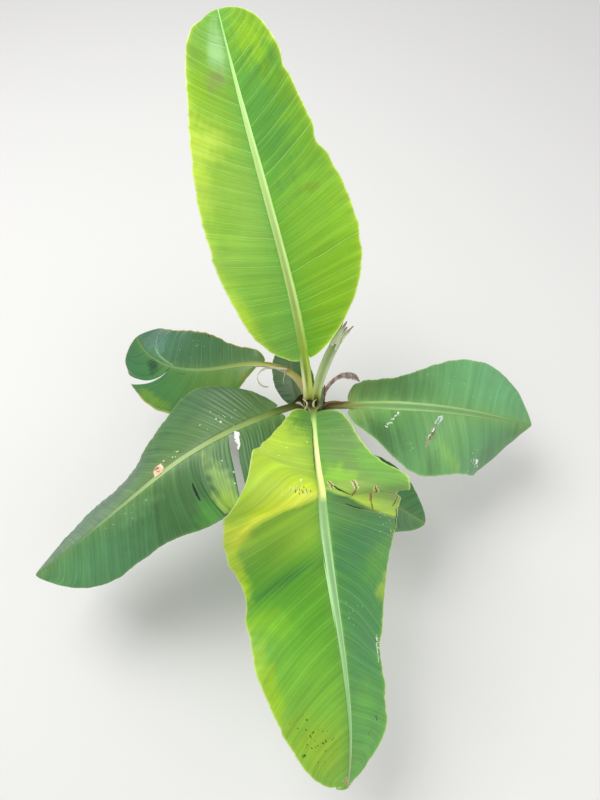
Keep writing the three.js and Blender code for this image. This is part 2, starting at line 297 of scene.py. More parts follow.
youngSkin = leafSkin("young leaf skin", 0.46, 0.42, "#c8ee88")
sunlitSkin = leafSkin("sunlit leaf skin", 0.44, 0.3, "#b0dc6e")
matureSkin = leafSkin("mature leaf skin", 0.4, 0.24, "#88b078")
ribFlesh = fleshSkin("midrib flesh", 0.42, 0.22, 0.0002)
sheathFlesh = fleshSkin("stem sheath", 0.5, 0.3, 0.0003)
tornFlesh = fleshSkin("torn stalk flesh", 0.5, 0.6, 0.0005)
dryTissue = fleshSkin("dry tissue", 0.72, 0.5, 0.0005)


# Leaves

# What a leaf has unless it says otherwise. Lengths are millimetres and angles degrees, and a list runs
# from base to tip or from midrib to margin. Pairs are for the halves at the left and right of the way to
# the tip, hand -1 and 1. Every part of a leaf draws its noise from the leaf's seed plus a number of its own.
leafSet = dict(
    length=0,  # of the blade; foot is where the stalk leaves the stem, and stalk is the stalk's length
    bend=(0, 0, 1),  # fold across the blade: share of the arc, degrees, share that it takes
    fold=None,  # slope of each half across the leaf, and past the bend foldAfter; curl is what it gains outward
    foldAfter=None,
    rib=None,  # half widths of the midrib; widths and depths are the stalk's, wide is the blade's widest half
    nicks=[],  # place, depth, span, hand
    tears=[],  # on each side of one: how far the veins move, how soon that fades, how much the skin drops
    stations=400,
    columns=56,
    thickness=[1.7, 1.2, 1.0, 0.8],
    spineSteps=240,
    endsAt=None,  # share of the arc where a torn stalk ends
    # gain: each half's brightness, partly its own tone and partly painted light and shade of how the light falls on
    # it
    gain=[[1, 1, 1], [1, 1, 1]],
    byRibReach=14,
    rim=(None, 1.5, 0.3),  # tint, or the margin's, width, strength
    pleatShade=0.12,
    streakShade=0.1,
    bands=[],  # painted light and shade along a fold: hand, reach before and after a line across the half, the line, strength, tint
    patches=[],  # hand, place, reach, spans of both, tint, strength, raggedness, grain, edge, dryness, from, to
    scars=[],  # hand, path of places and reaches, widths, tint and that of its edge, raggedness, what else differs
    specks=[],  # hand, place, reach, spread of both, count, size, tint
    ribGain=1,  # ribGain scales the stalk's tints, partly as painted light and shade; ribTop has a share of stalk and midrib, with the tints of left rim, channel and right rim
    channelHalf=[0.2],
    ribDryness=0,
)


def leafOf(**own):
    return {**leafSet, **own}


def upwardNormals(grid, hand=1):
    return unit(hand * np.cross(np.gradient(grid, axis=1), np.gradient(grid, axis=0)))


# Closed thin sheet on a grid of points, with half its thickness on either side of them
def sheetOf(grid, thick, tint, place, dryness=1.0, under=None, hand=1):
    offset = upwardNormals(grid, hand) * np.broadcast_to(thick, grid.shape[:2])[..., None] / 2
    flat = 0 * grid[..., 0]
    tint = tint + 0 * grid
    both = lambda upper, lower: np.concatenate([upper, lower[:, ::-1]], 1)
    values = {"tint": both(tint, tint if under is None else under)}
    for key, value in (("linePlace", place + flat), ("dryness", dryness + flat)):
        values[key] = both(value, value)
    return *loft(both(grid + offset, grid - offset), flatRims=True), values


def arcShare(leaf, u):
    return (leaf["stalk"] + u * leaf["length"]) / (leaf["stalk"] + leaf["length"])


def bendPassed(leaf, t, spread=1.0):
    at, by, over = leaf["bend"]
    return ease((t - at) / (over * spread) + 0.5)


# unit vector with the heading and pitch that the leaf has at t
def directionAt(leaf, t):
    pitch = (along(leaf["pitch"], t) + leaf["bend"][1] * bendPassed(leaf, t)) * degree
    heading = along(leaf["heading"], t) * degree
    return np.stack([np.cos(pitch) * np.cos(heading), np.cos(pitch) * np.sin(heading), np.sin(pitch)], -1)


# the midrib and stalk as points at even steps of arc, the running sum of short steps
def spineOf(leaf):
    steps = leaf["spineSteps"]
    moves = directionAt(leaf, (np.arange(steps) + 0.5) / steps) * (leaf["stalk"] + leaf["length"]) / steps
    return np.concatenate([[leaf["foot"]], leaf["foot"] + np.cumsum(moves, 0)])


# place, direction, right-hand side and upper side of the spine at shares t of its arc
def frameAt(leaf, spine, t):
    x = np.clip(t, 0, 1) * leaf["spineSteps"]
    place = np.stack([np.interp(x, np.arange(len(spine)), spine[:, k]) for k in range(3)], -1)
    heading = along(leaf["heading"], t) * degree
    roll = (along(leaf["roll"], t) * degree)[..., None]
    direction = directionAt(leaf, t)
    level = np.stack([np.sin(heading), -np.cos(heading), 0 * heading], -1)
    upright = np.cross(level, direction)
    side = level * np.cos(roll) + upright * np.sin(roll)
    return place, direction, side, upright * np.cos(roll) - level * np.sin(roll)


# upward normals of a grid on a blade, on the side that the spine's frame calls up
def outwardNormals(leaf, spine, grid, u):
    normal = upwardNormals(grid)
    return normal * np.sign((normal * frameAt(leaf, spine, arcShare(leaf, u))[3]).sum())


def ribHalf(leaf, u):
    return along(leaf["rib"], np.clip(u, 0, 1))


# a half's width: the sum of c sin(k angle), where the angle runs from 0 at the base to pi at the tip
def halfWidth(leaf, u, hand):
    angle = np.arccos(np.clip(1 - 2 * u, -1, 1))
    total = sum(share * np.sin((k + 1) * angle) for k, share in enumerate(leaf["sines"][hand > 0]))
    wide, power, least = ribSet["tip"]
    return np.maximum(total, np.minimum(ribHalf(leaf, u), wide * (1 - u) ** power + least) * ribSet["room"])


def foldAt(leaf, u, hand):
    fold = leaf["fold"][hand > 0]
    if leaf["foldAfter"] is None:
        return along(fold, u)
    end, start, spread = bladeSet["foldReach"]
    passed = bendPassed(leaf, arcShare(leaf, u), spread)
    outer = along(leaf["foldAfter"][hand > 0], (u - start) / (1 - start))
    return along(fold, u / end) * (1 - passed) + outer * passed


bladeSet = dict(
    foldReach=(0.4, 0.25, 1.2),  # where the slopes before a bend end, those after it start, and their overlap
    dip=(0.55, 3),  # beside the midrib: depth, reach
    uneven=((26, 1.2), (7, 0.35), 0.6),  # of the margin: wave lengths with heights, and what is trimmed
    flutterLength=85,
    frill=(16, 0.7),  # waves of the margin
    pleats=400,
    pleatWidths=(0.6, 1.4),
    pleatHeights=(0.3, 1.2),
    streaks=((14, 13, 0.6), (6, 4, 0.4)),  # reach from midrib to margin, wave length, share
    byRib=0.8,
    margin=0.7,
    rimEnd=1.6,
    tintWander=(60, 0.03, 0.012),  # of the gradients along a half: wave length, by waves, by streaks
    bandWander=0.004,
    patchNoise=(0.4, 0.8, 0.3),  # by waves, by streaks, how far a patch reaches past its spans
    underShare=0.5,
    columnCrowding=1.35,
    endCrowding=(0.12, 0.0006),
    ribOverlap=0.96,
    veinRoom=0.82,
    tearReach=0.05,
    trimFrom=(40, 0.3),  # width in millimetres over which the margin turns uneven, share where it starts
    pleatRise=22,  # millimetres from the midrib over which the pleats rise
    pleatFall=(0.75, 4, 0.5),  # reach where they sink, how fast, how much
    endFade=14,
    scarTint=(0.2, 3),
    scarEnd=0.004,
    scarThickness=0.3,
    speckSizes=(0.5, 1.4),
    speckLengths=(0.8, 1.6),
)


# Middle surface of one half: from the spine's frame at u, out by w (sin(f + c r) - sin f) / c and up
# by w (cos f - cos(f + c r)) / c, with width w, fold f, curl c and reach r from midrib to margin.
def bladeMiddle(leaf, spine, u, reach, hand, trim):
    place, direction, side, up = frameAt(leaf, spine, arcShare(leaf, u))
    width = halfWidth(leaf, u, hand) - trim
    fold = foldAt(leaf, u, hand) * degree
    curl = (leaf["curl"][hand > 0] or 0.01) * degree
    out = width * (np.sin(fold + curl * reach) - np.sin(fold)) / curl
    lift = width * (np.cos(fold) - np.cos(fold + curl * reach)) / curl
    return place + side * (hand * out)[..., None] + up * lift[..., None]


# places from first to last along the blade, crowded towards its round ends at 0 and 1
def stationsOf(first, last, stations):
    fine = np.linspace(0, 1, 4001)
    much, start = bladeSet["endCrowding"]
    crowd = 1 + much * ((fine + start) ** -0.5 + (1 + start - fine) ** -0.5)
    total = np.cumsum(crowd)
    total = (total - total[0]) / (total[-1] - total[0])
    low, high = np.interp([first, last], fine, total)
    made = np.interp(np.linspace(low, high, max(12, int(stations * (high - low)))), total, fine)
    made[0], made[-1] = first, last
    return made


# Pleats between side veins: a row of low round ridges, 1 - (2 f - 1)^2 of the place f within each, whose
# widths vary about the leaf's own. Also gives the running count of pleats.
def pleatsAt(leaf, place, seed):
    draw = np.random.default_rng(seed)
    most = bladeSet["pleats"]
    spacing = leaf["pleat"] * draw.uniform(*bladeSet["pleatWidths"], most)
    heights = draw.uniform(*bladeSet["pleatHeights"], most + 1)
    count = np.interp(place, np.concatenate([[0], np.cumsum(spacing)]), np.arange(most + 1))
    share = count - np.floor(count)
    return (1 - (2 * share - 1) ** 2) * heights[np.floor(count).astype(int)], count


# strength, tint and dryness of a patch: an ellipse whose edge noise makes ragged, held between two places
def patchAt(leaf, u, reach, place, streak, seed, atU, atReach, du, ds, code, share,
            ragged=0.4, grain=20, edge=1.0, dry=0, first=0, last=1):
    waves, streaks, past = bladeSet["patchNoise"]
    noise = waves * drift(u * leaf["length"], reach * leaf["wide"], grain, seed) + streaks * streak
    far = np.hypot((u - atU) / du, (reach - atReach) / ds) + noise * ragged
    share = ease((1 - far) * edge + past) * share
    return share * (place >= first * leaf["length"]) * (place <= last * leaf["length"]), rgb(code), dry


# Tint of a blade's upper side: gradients along each half, then near the midrib, then bands that fade
# from a line across the blade as exp(-d / reach), then patches, then the margin. Then painted light and
# shade: lighter on the pleats' ridges, darker in their hollows, shaded along the streaks, and each half
# scaled by its gain; and last the pale rim. The gradients, bands, patches and gains carry painted light
# and shade as well as the leaf's own tones.
def paintBlade(leaf, hand, u, reach, place, fromRib, toMargin, pleat, seed):
    streak = 0
    for k, (out, wave, share) in enumerate(bladeSet["streaks"]):
        streak = streak + share * drift(place, reach * out, wave, seed + 7 * k)
    wave, byWaves, byStreaks = bladeSet["tintWander"]
    shift = byWaves * drift(place, reach * leaf["wide"], wave, seed + 8) + byStreaks * streak
    tint = along(rgb(leaf["tints"][hand > 0]), u + shift)
    near = bladeSet["byRib"] * np.exp(-fromRib / leaf["byRibReach"]) * (1 + 0.5 * streak)
    tint = mixTint(tint, rgb(leaf["byRib"]), near)
    for bandHand, before, after, line, share, code in leaf["bands"]:
        if bandHand == hand:
            past = (u + bladeSet["bandWander"] * streak - along(line, reach)) * leaf["length"]
            fade = np.exp(-np.abs(past) / np.where(past < 0, before, after))
            tint = mixTint(tint, rgb(code), fade * along(share, reach))
    dryness = np.zeros_like(u)
    for k, (spotHand, *spot) in enumerate(leaf["patches"]):
        if spotHand == hand:
            share, spotTint, dry = patchAt(leaf, u, reach, place, streak, seed + k, *spot)
            tint = mixTint(tint, spotTint, share)
            dryness = np.maximum(dryness, share * dry)
    edge, edgeReach = leaf["margin"]
    tint = mixTint(tint, rgb(edge), bladeSet["margin"] * np.exp(-toMargin / edgeReach))
    # painted light and shade: the pleats' relief and the streaks, then each half's gain
    lit = 1 + leaf["pleatShade"] * (pleat - 0.5) + leaf["streakShade"] * streak
    tint = tint * lit[..., None] * np.array(leaf["gain"][hand > 0])
    rim, rimWidth, rimShare = leaf["rim"]
    return mixTint(tint, rgb(rim or edge), rimShare * ease(bladeSet["rimEnd"] - toMargin / rimWidth)), dryness


# How far forward a side vein that leaves the midrib at a reaches its margin, as a share of the blade:
# width times lean, held under what is left up to the tip.
def sweepOf(leaf, a, hand):
    lean = along(leaf["lean"], a) * halfWidth(leaf, a, hand) / leaf["length"] + 1e-6
    room = bladeSet["veinRoom"] * (1 - a) + 1e-6
    return lean * room / (lean**3 + room**3) ** (1 / 3)


# Middle of the skin at side veins a and reaches r. A vein lies at u = a + sweep r, moved on each side of
# a tear by what the tear says, which fades away from it. Over the blade's middle surface the skin rises
# with its pleats, flutters in slow waves that grow with r^2.2, and dips at the midrib. Nicks go in from
# the margin by depth times ease(1 - distance / span), and a negative one swells it.
def skinAt(leaf, spine, hand, last, a, reach, seed):
    length = leaf["length"]
    sweep = sweepOf(leaf, a, hand)
    u = a + sweep * reach
    drop = 0
    for tear in leaf["tears"]:
        if tear["hand"] == hand:
            k = int(last > tear["at"] + 1e-6)
            beside = np.abs(a - tear["at"])
            u = u + along(tear["move"][k], reach) * ease(1 - beside / tear["fades"][k])
            drop = drop + tear["drop"][k] * ease(1 - beside / bladeSet["tearReach"]) * reach**1.5
    u = np.clip(u, 0, 1)
    atMargin = np.clip(a + sweep, 0, 1)
    *waves, trimmed = bladeSet["uneven"]
    uneven = sum(drift(atMargin * length, 0 * a, wave, seed + 1 + k) * high for k, (wave, high) in enumerate(waves))
    width = halfWidth(leaf, u, hand)
    over, start = bladeSet["trimFrom"]
    trim = (uneven + trimmed) * ease(width / over - start)
    for where, depth, span, side in leaf["nicks"]:
        if side == hand:
            trim = trim + depth * ease(1 - np.abs(atMargin - where) * length / span)
    grid = bladeMiddle(leaf, spine, u, reach, hand, trim * reach**4)
    normal = outwardNormals(leaf, spine, grid, u)
    fromRib = np.maximum(reach * width - ribHalf(leaf, u), 0)
    place = a * length + 0 * reach
    pleat, count = pleatsAt(leaf, place, seed + 3)
    start, fast, much = bladeSet["pleatFall"]
    sunk = 1 - much * ease((reach - start) * fast)
    rise = leaf["pleatHeight"] * (pleat - 0.5) * ease(fromRib / bladeSet["pleatRise"]) * sunk
    wave = leaf["flutter"] * drift(place, 40 * reach, bladeSet["flutterLength"], seed + 4) * reach**2.2
    frill, high = bladeSet["frill"]
    wave = wave + high * drift(u * length, 0 * u, frill, seed + 5) * reach**7
    ends = ease(np.minimum(u, 1 - u) * bladeSet["endFade"])
    deep, wide = bladeSet["dip"]
    height = (rise + wave + drop) * ends - deep * np.exp(-fromRib / wide)
    return grid + normal * height[..., None], u, width, fromRib, pleat, count


# One closed thin panel of a half blade, between two places along the midrib. Its columns lie closer
# together towards the margin: r = 1 - (1 - c)^1.35.
def panelOf(leaf, spine, hand, first, last, seed):
    a = stationsOf(first, last, leaf["stations"])[:, None]
    ribShare = bladeSet["ribOverlap"] * np.minimum(1, ribHalf(leaf, a) / halfWidth(leaf, a, hand))
    column = np.linspace(0, 1, leaf["columns"])[None, :]
    reach = ribShare + (1 - ribShare) * (1 - (1 - column) ** bladeSet["columnCrowding"])
    grid, u, width, fromRib, pleat, count = skinAt(leaf, spine, hand, last, a, reach, seed)
    place = a * leaf["length"] + 0 * reach
    tint, dryness = paintBlade(leaf, hand, u, reach, place, fromRib, (1 - reach) * width, pleat, seed + 6)
    under = mixTint(tint, rgb(leaf["under"]), bladeSet["underShare"] + 0 * u)
    return sheetOf(grid, along(leaf["thickness"], reach), tint, count, dryness, under, hand)


# A scar, spot or streak that lies on a blade: a thin patch along a path of (u, reach), as wide as
# widths says, rounded at its ends by (1 - |2 t - 1|^blunt)^0.5 and made ragged by noise.
def scarOf(leaf, spine, hand, last, seed, panelSeed, path, widths, code, ragged,
           blunt=6, grain=3, lift=0.08, edgeFall=3, dry=1.0, steps=40, lanes=9):
    wide = float(halfWidth(leaf, path[:, 0].mean(), hand))
    t = np.linspace(0, 1, steps)
    middle = along(path * [leaf["length"], wide], t)
    way = unit(np.gradient(middle, axis=0))
    across = np.stack([-way[:, 1], way[:, 0]], -1)
    ends = np.sqrt(np.maximum(1 - np.abs(2 * t - 1) ** blunt, bladeSet["scarEnd"]))[:, None]
    v = np.linspace(-1, 1, lanes)[None, :]
    size = along(widths, t)[:, None] / 2
    moves = np.linalg.norm(np.diff(middle, axis=0), axis=1)
    run = np.concatenate([[0], np.cumsum(moves)])[:, None] + 0 * v
    out = v * size * ends * (1 + ragged * drift(run, v * 2, grain, seed))
    out = out + ragged * size * drift(run, 0 * v, 2 * grain, seed + 1)
    spread = middle[:, None] + across[:, None] * out[..., None]
    u, reach = spread[..., 0] / leaf["length"], np.clip(spread[..., 1] / wide, 0.01, 1)
    a = u
    for _ in range(8):
        a = np.clip(u - sweepOf(leaf, a, hand) * reach, 0, 1)
    grid = skinAt(leaf, spine, hand, last, a, reach, panelSeed)[0]
    rise = along(leaf["thickness"], reach)[..., None] / 2 + lift
    much, wave = bladeSet["scarTint"]
    own, *edge = np.atleast_2d(rgb(code))
    tint = own * (1 + much * drift(run, v * 3, wave, seed + 2))[..., None]
    if edge:
        tint = mixTint(tint, edge[0], np.abs(v) ** edgeFall + 0 * run)
    grid = grid + outwardNormals(leaf, spine, grid, u) * rise
    return sheetOf(grid, bladeSet["scarThickness"], tint, 0.5, dry)


# small round spots, scattered about a place on a blade
def specksOf(leaf, seed, hand, atU, atReach, spreadU, spreadReach, count, size, code):
    draw = np.random.default_rng(seed)
    for _ in range(count):
        du, ds = draw.normal(0, 0.5, 2)
        u, reach = atU + du * spreadU, atReach + ds * spreadReach
        wide = size * draw.uniform(*bladeSet["speckSizes"])
        far = 0.5 * wide / leaf["length"] * draw.uniform(*bladeSet["speckLengths"])
        look = dict(blunt=2, dry=0.6, steps=12, lanes=5)
        yield hand, [u - far, reach, u + far, reach], [wide, wide], code, 0.15, look


def bladeOf(name, leaf, skin, slot, *replaced):
    spine = spineOf(leaf)
    surfaces, marks = [], list(leaf["scars"])
    for k, group in enumerate(leaf["specks"]):
        marks += specksOf(leaf, leaf["seed"] + 900 + k, *group)
    for hand in (-1, 1):
        cuts = sorted(tear["at"] for tear in leaf["tears"] if tear["hand"] == hand)
        for k, (first, last) in enumerate(zip([0.0] + cuts, cuts + [1.0])):
            seed = leaf["seed"] + 200 * (hand + 1) + 20 * k
            surfaces.append(panelOf(leaf, spine, hand, first, last, seed))
            for j, (markHand, path, widths, code, ragged, *more) in enumerate(marks):
                path, more = np.reshape(path, (-1, 2)).astype(float), dict(*more)
                u, reach = path.mean(0)
                vein = u - float(sweepOf(leaf, np.array(u - 0.1 * reach), hand)) * reach
                if markHand == hand and first <= max(more.pop("vein", vein), 0) < last:
                    panel = leaf, spine, hand, last, seed + 600 + 3 * j, seed
                    surfaces.append(scarOf(*panel, path, widths, code, ragged, **more))
    objectOf(name, surfaces, skin, *replaced, slot=slot)


ribSet = dict(
    stations=260,
    points=26,  # round a section, half above and half below
    rim=(0.3, 0.5),  # share of the stalk's depth, and millimetres over the blade
    channel=(0.62, 0.3),  # share of the stalk's depth, and of the midrib's half width
    belly=(0.7, 0.95),
    steepest=34,  # of the blade's folds, how much the midrib's sides follow
    room=1.06,  # of the blade beside it
    tip=(9, 0.4, 1.5),  # the blade's least half width: factor and power of what is left to the tip, and more
    onBlade=0.05,
    lowSteps=40,
    pull=0.9,  # of a sheath's drop, how far it runs straight from each end
    closedWrap=95,
    rimShape=(0.25, 0.75, 0.7),  # of a sheath: thickness at its edge, what it gains, power
    edgeTint=0.12,
    insideShare=0.8,
    softRim=0.4,
    frayed=(9, 0.25),
    closed=(0.55, 0.45),  # how far a sheath has closed at the foot, and what is left
    wobble=(0.02, 40),
    roundFibres=24,
)


# Sheath, stalk and midrib in one closed sweep. Below the foot the section is an arc that hugs the
# stem, radius R over half angle A; from there it closes to the stalk's trough, whose upper side is
# rim - channel (1 - |x / w|^2.4) and whose belly is a half ellipse. Along the blade it flattens, and each
# side slopes as that half of the blade does.
def stalkOf(name, leaf, skin, slot, *replaced, extra=()):
    spine = spineOf(leaf)
    drop, stemGap, hug, wrap, thick, closes = leaf["sheath"]
    total = leaf["stalk"] + leaf["length"]
    foot = np.array(leaf["foot"], float)
    low = np.linspace(0, 1, ribSet["lowSteps"])[:-1]
    count = len(low)
    t = np.concatenate([0 * low, np.linspace(0, leaf["endsAt"] or 0.998, ribSet["stations"])])
    place, direction, side, up = frameAt(leaf, spine, t)
    beta = np.arctan2(foot[1], foot[0])
    radial = np.array([np.cos(beta), np.sin(beta), 0])
    start = radial * stemGap + [0, 0, foot[2] - drop]
    pull = drop * ribSet["pull"]
    h = low[:, None]
    place[:count] = ((2 * h**3 - 3 * h**2 + 1) * start + (h**3 - 2 * h**2 + h) * pull * np.array([0, 0, 1])
                     + (3 * h**2 - 2 * h**3) * foot + (h**3 - h**2) * pull * direction[0])
    lowWay = unit(np.gradient(place[:count], axis=0))
    side[:count] = unit(np.cross(lowWay, -radial * (1 - h) + up[0] * h))
    up[:count] = np.cross(side[:count], lowWay)
    arc = t * total
    reached = np.concatenate([low, np.ones(ribSet["stations"])])
    closed, rest = ribSet["closed"]
    closing = ease(np.where(reached < 1, closed * reached, closed + rest * arc / closes))
    share = np.clip(arc / leaf["stalk"], 0, 1)
    u = np.clip((arc - leaf["stalk"]) / max(leaf["length"], 1), 0, 1)
    onBlade = ease(u / ribSet["onBlade"])
    half = along(leaf["widths"], share) / 2
    if leaf["rib"]:
        half = np.where(u > 0, ribHalf(leaf, u), half)
    col = lambda x: np.asarray(x)[:, None]
    depth = along(leaf["depths"], share)
    rim, channel, belly = (
        col(ribSet[key][0] * depth * (1 - onBlade) + ribSet[key][1] * over * onBlade)
        for key, over in (("rim", 1), ("channel", half), ("belly", half))
    )
    angle = np.linspace(0, np.pi, ribSet["points"] // 2)[None, :]
    x = -np.cos(angle) * col(half)
    top = np.stack([x, rim - channel * (1 - np.abs(np.cos(angle)) ** 2.4)], -1)
    bottom = np.stack([x * 1.02, rim - 0.4 - (rim + belly) * np.sin(angle) ** 0.85], -1)
    if leaf["fold"]:
        most = ribSet["steepest"]
        folds = [col(np.clip(foldAt(leaf, u, hand), -most, most)) for hand in (-1, 1)]
        rise = np.abs(x) * (np.tan(np.where(x < 0, *folds) * degree) * col(onBlade))
        top[..., 1] += rise
        bottom[..., 1] += rise
    bend = col((wrap * (1 - closing) + ribSet["closedWrap"] * closing) * degree) * (2 * angle / np.pi - 1)
    radius = col(hug * (1 - closing) + (half + 1) * closing)
    least, more, power = ribSet["rimShape"]
    thick = thick * (least + more * np.sin(angle) ** power)
    hull = lambda r: np.stack([r * np.sin(bend), radius - r * np.cos(bend) - belly], -1)
    mixIn = closing[:, None, None]
    top = hull(radius - thick) * (1 - mixIn) + top * mixIn
    bottom = hull(radius + 0 * angle) * (1 - mixIn) + bottom * mixIn
    section = np.concatenate([top, bottom[:, ::-1]], 1)
    much, wave = ribSet["wobble"]
    across = section[..., 0]
    wobble = 1 + much * drift(col(arc + 30 * reached) + 0 * across, across * 3, wave, leaf["seed"])
    if leaf["endsAt"]:
        fast, least = ribSet["frayed"]
        section = section * np.clip((1 - arc / arc[-1]) * fast, least, 1)[:, None, None] ** 0.5
    offset = side[:, None, :] * (section[..., :1] * wobble[..., None]) + up[:, None, :] * section[..., 1:]
    tint = paintStalk(leaf, angle, arc / total, (1 - closing)[:, None, None])
    fibres = angle / np.pi * ribSet["roundFibres"] + 0 * col(arc)
    values = {
        "tint": tint,
        "linePlace": np.concatenate([fibres, 60 - fibres[:, ::-1]], 1),
        "dryness": leaf["ribDryness"] + np.zeros(tint.shape[:2]),
    }
    surface = *loft(place[:, None, :] + offset), values
    objectOf(name, [surface, *extra], skin, *replaced, slot=slot)


# Tint round a stalk: on its upper side, rims and channel between the rows of ribTop, on its belly its own
# gradient, and on the part that is still a sheath the sheath's tint, its edge and its inner side. The inner
# tint, dark on most leaves, is painted shade in the hollow of the crown. ribGain scales it all, partly as
# painted light and shade.
def paintStalk(leaf, angle, share, sheathShare):
    off = -np.cos(angle)
    shares = [row[0] for row in leaf["ribTop"]]
    tones = np.array([rgb(row[1]) for row in leaf["ribTop"]])
    left, channel, right = (
        np.stack([np.interp(share, shares, tones[:, k, c]) for c in range(3)], -1)[:, None] for k in range(3)
    )
    side = ease((np.abs(off) - along(leaf["channelHalf"], share)[:, None]) / ribSet["softRim"])
    upper = mixTint(mixTint(channel + 0 * off[..., None], left, side * (off < 0)), right, side * (off > 0))
    under = along(rgb(leaf["belly"]), np.sqrt(share))[:, None] + 0 * upper
    edge = np.exp(-np.sin(angle) / ribSet["edgeTint"])[..., None]
    outside, rimTint, inside = rgb(leaf["sheathTints"])
    wrapped = outside * (1 - edge) + rimTint * edge
    under = under * (1 - sheathShare) + wrapped * sheathShare
    within = ribSet["insideShare"]
    upper = upper * (1 - sheathShare) + (within * inside + (1 - within) * wrapped) * sheathShare
    return np.concatenate([upper, under[:, ::-1]], 1) * leaf["ribGain"]


# the skin and the midrib with its stalk, which stand in for the leaf's nodes
def leafPieces(name, leaf, skin, slot, *blades, stalkSlot="leaf_stalk"):
    bladeOf(name + "_skin", leaf, skin, slot, *(blades or [name + "_blade"]))
    stalkOf(name + "_rib", leaf, ribFlesh, stalkSlot, name + "_stalk")


leafTop = leafOf(
    foot=[-4.5, 3, 330], stalk=90, length=529, heading=[101, 113, 114, 108], pitch=[70, 62, 55, 50, 42],
    roll=[-2, 3, 11], sines=[[109, 6, 0, -7, 1, -2], [115, 7, -2, -11, 1]],
    fold=[[24, 15, 7, -1], [21, 15, 11, 11]], curl=[0, 0],
    rib=[8.2, 8.1, 7.7, 7, 6.3, 5.9, 5.3, 4.2, 2.9, 1.8, 1.1], widths=[19, 17, 17], depths=[9, 10, 9], wide=117,
    lean=[0.2, 0.3, 0.48, 0.65, 0.85], pleat=6.5, pleatHeight=0.5, flutter=3, seed=11,
    sheath=(60, 8, 9, 130, 2, 30),
    nicks=[
        (0.99, 8, 7, -1), (0.838, 4, 20, 1), (0.64, 7, 28, 1), (0.3, 3, 60, -1),
    ],
    tints=["#82b950 #82be41 #9bcd50 #91be37 #78aa41", "#87be3c #87be23 #87c346 #6eaa3c #78af23"],
    gain=[[0.95, 0.98, 0.58], [0.92, 0.95, 0.32]], byRib="#6cb252", byRibReach=24, margin=("#d6ee5a", 4),
    rim=("#e2f6a0", 1.5, 0.85), under="#aac882", pleatShade=0.16,
    patches=[
        # The first patch, pale mint at the tip, is a painted reflection of the sky on the tip, which tilts back.
        (-1, 0.915, 0.26, 0.07, 0.26, "#a4d4ac", 0.95, 0.3), (-1, 0.96, 0.55, 0.04, 0.35, "#80be54", 0.5),
        (-1, 0.85, 0.42, 0.032, 0.22, "#8ca060", 0.9, 0.6, 20, 1.0, 0.3),
        (-1, 0.66, 0.95, 0.16, 0.26, "#d0ec54", 0.65, 0.4, 20, 0.7),
        (-1, 0.705, 0.7, 0.05, 0.36, "#d2ec6c", 0.6, 0.5, 20, 0.7), (-1, 0.84, 0.8, 0.05, 0.3, "#8cbe1a", 0.7),
        (-1, 0.5, 0.7, 0.06, 0.3, "#80ba1e", 0.45), (-1, 0.24, 0.97, 0.14, 0.22, "#c4e62c", 0.7, 0.4, 20, 0.7),
        (-1, 0.08, 0.45, 0.06, 0.3, "#76b054", 0.5), (1, 0.915, 0.5, 0.07, 0.42, "#92c60a", 0.95),
        (1, 0.22, 0.68, 0.11, 0.3, "#8cc20e", 0.8), (1, 0.4, 0.85, 0.12, 0.2, "#96d01e", 0.6),
        (1, 0.72, 0.25, 0.2, 0.42, "#58a264", 0.75), (1, 0.825, 0.58, 0.018, 0.1, "#688c32", 0.55, 0.8),
        (1, 0.526, 0.58, 0.016, 0.12, "#80a03c", 0.55, 0.8), (1, 0.86, 0.86, 0.05, 0.22, "#549c54", 0.7),
    ],
    # The light first rows of ribTop and the pale inner tint in sheathTints are painted light at the stalk's foot,
    # set against the shade of the crown.
    ribTop=[
        (0, "#e6eba5 #c8cd69 #dce182"), (0.07, "#ffffc8 #6e7d0f #d2e16e"), (0.17, "#91af46 #9bb441 #afcd50"),
        (0.33, "#b9d778 #9bb45f #d7f091"), (0.81, "#cdf596 #c3eb91 #d2ffa5"), (1, "#96cd73 #afe68c #9bd278"),
    ],
    belly="#b0bc68 #b0cc70 #aace6e", sheathTints="#8c944c #80743e #bec876", ribGain=1.08,
    channelHalf=[0.02, 0.2, 0.2, 0.2, 0.2, 0.2],
)
leafPieces("leaf_top", leafTop, youngSkin, "blade_young")

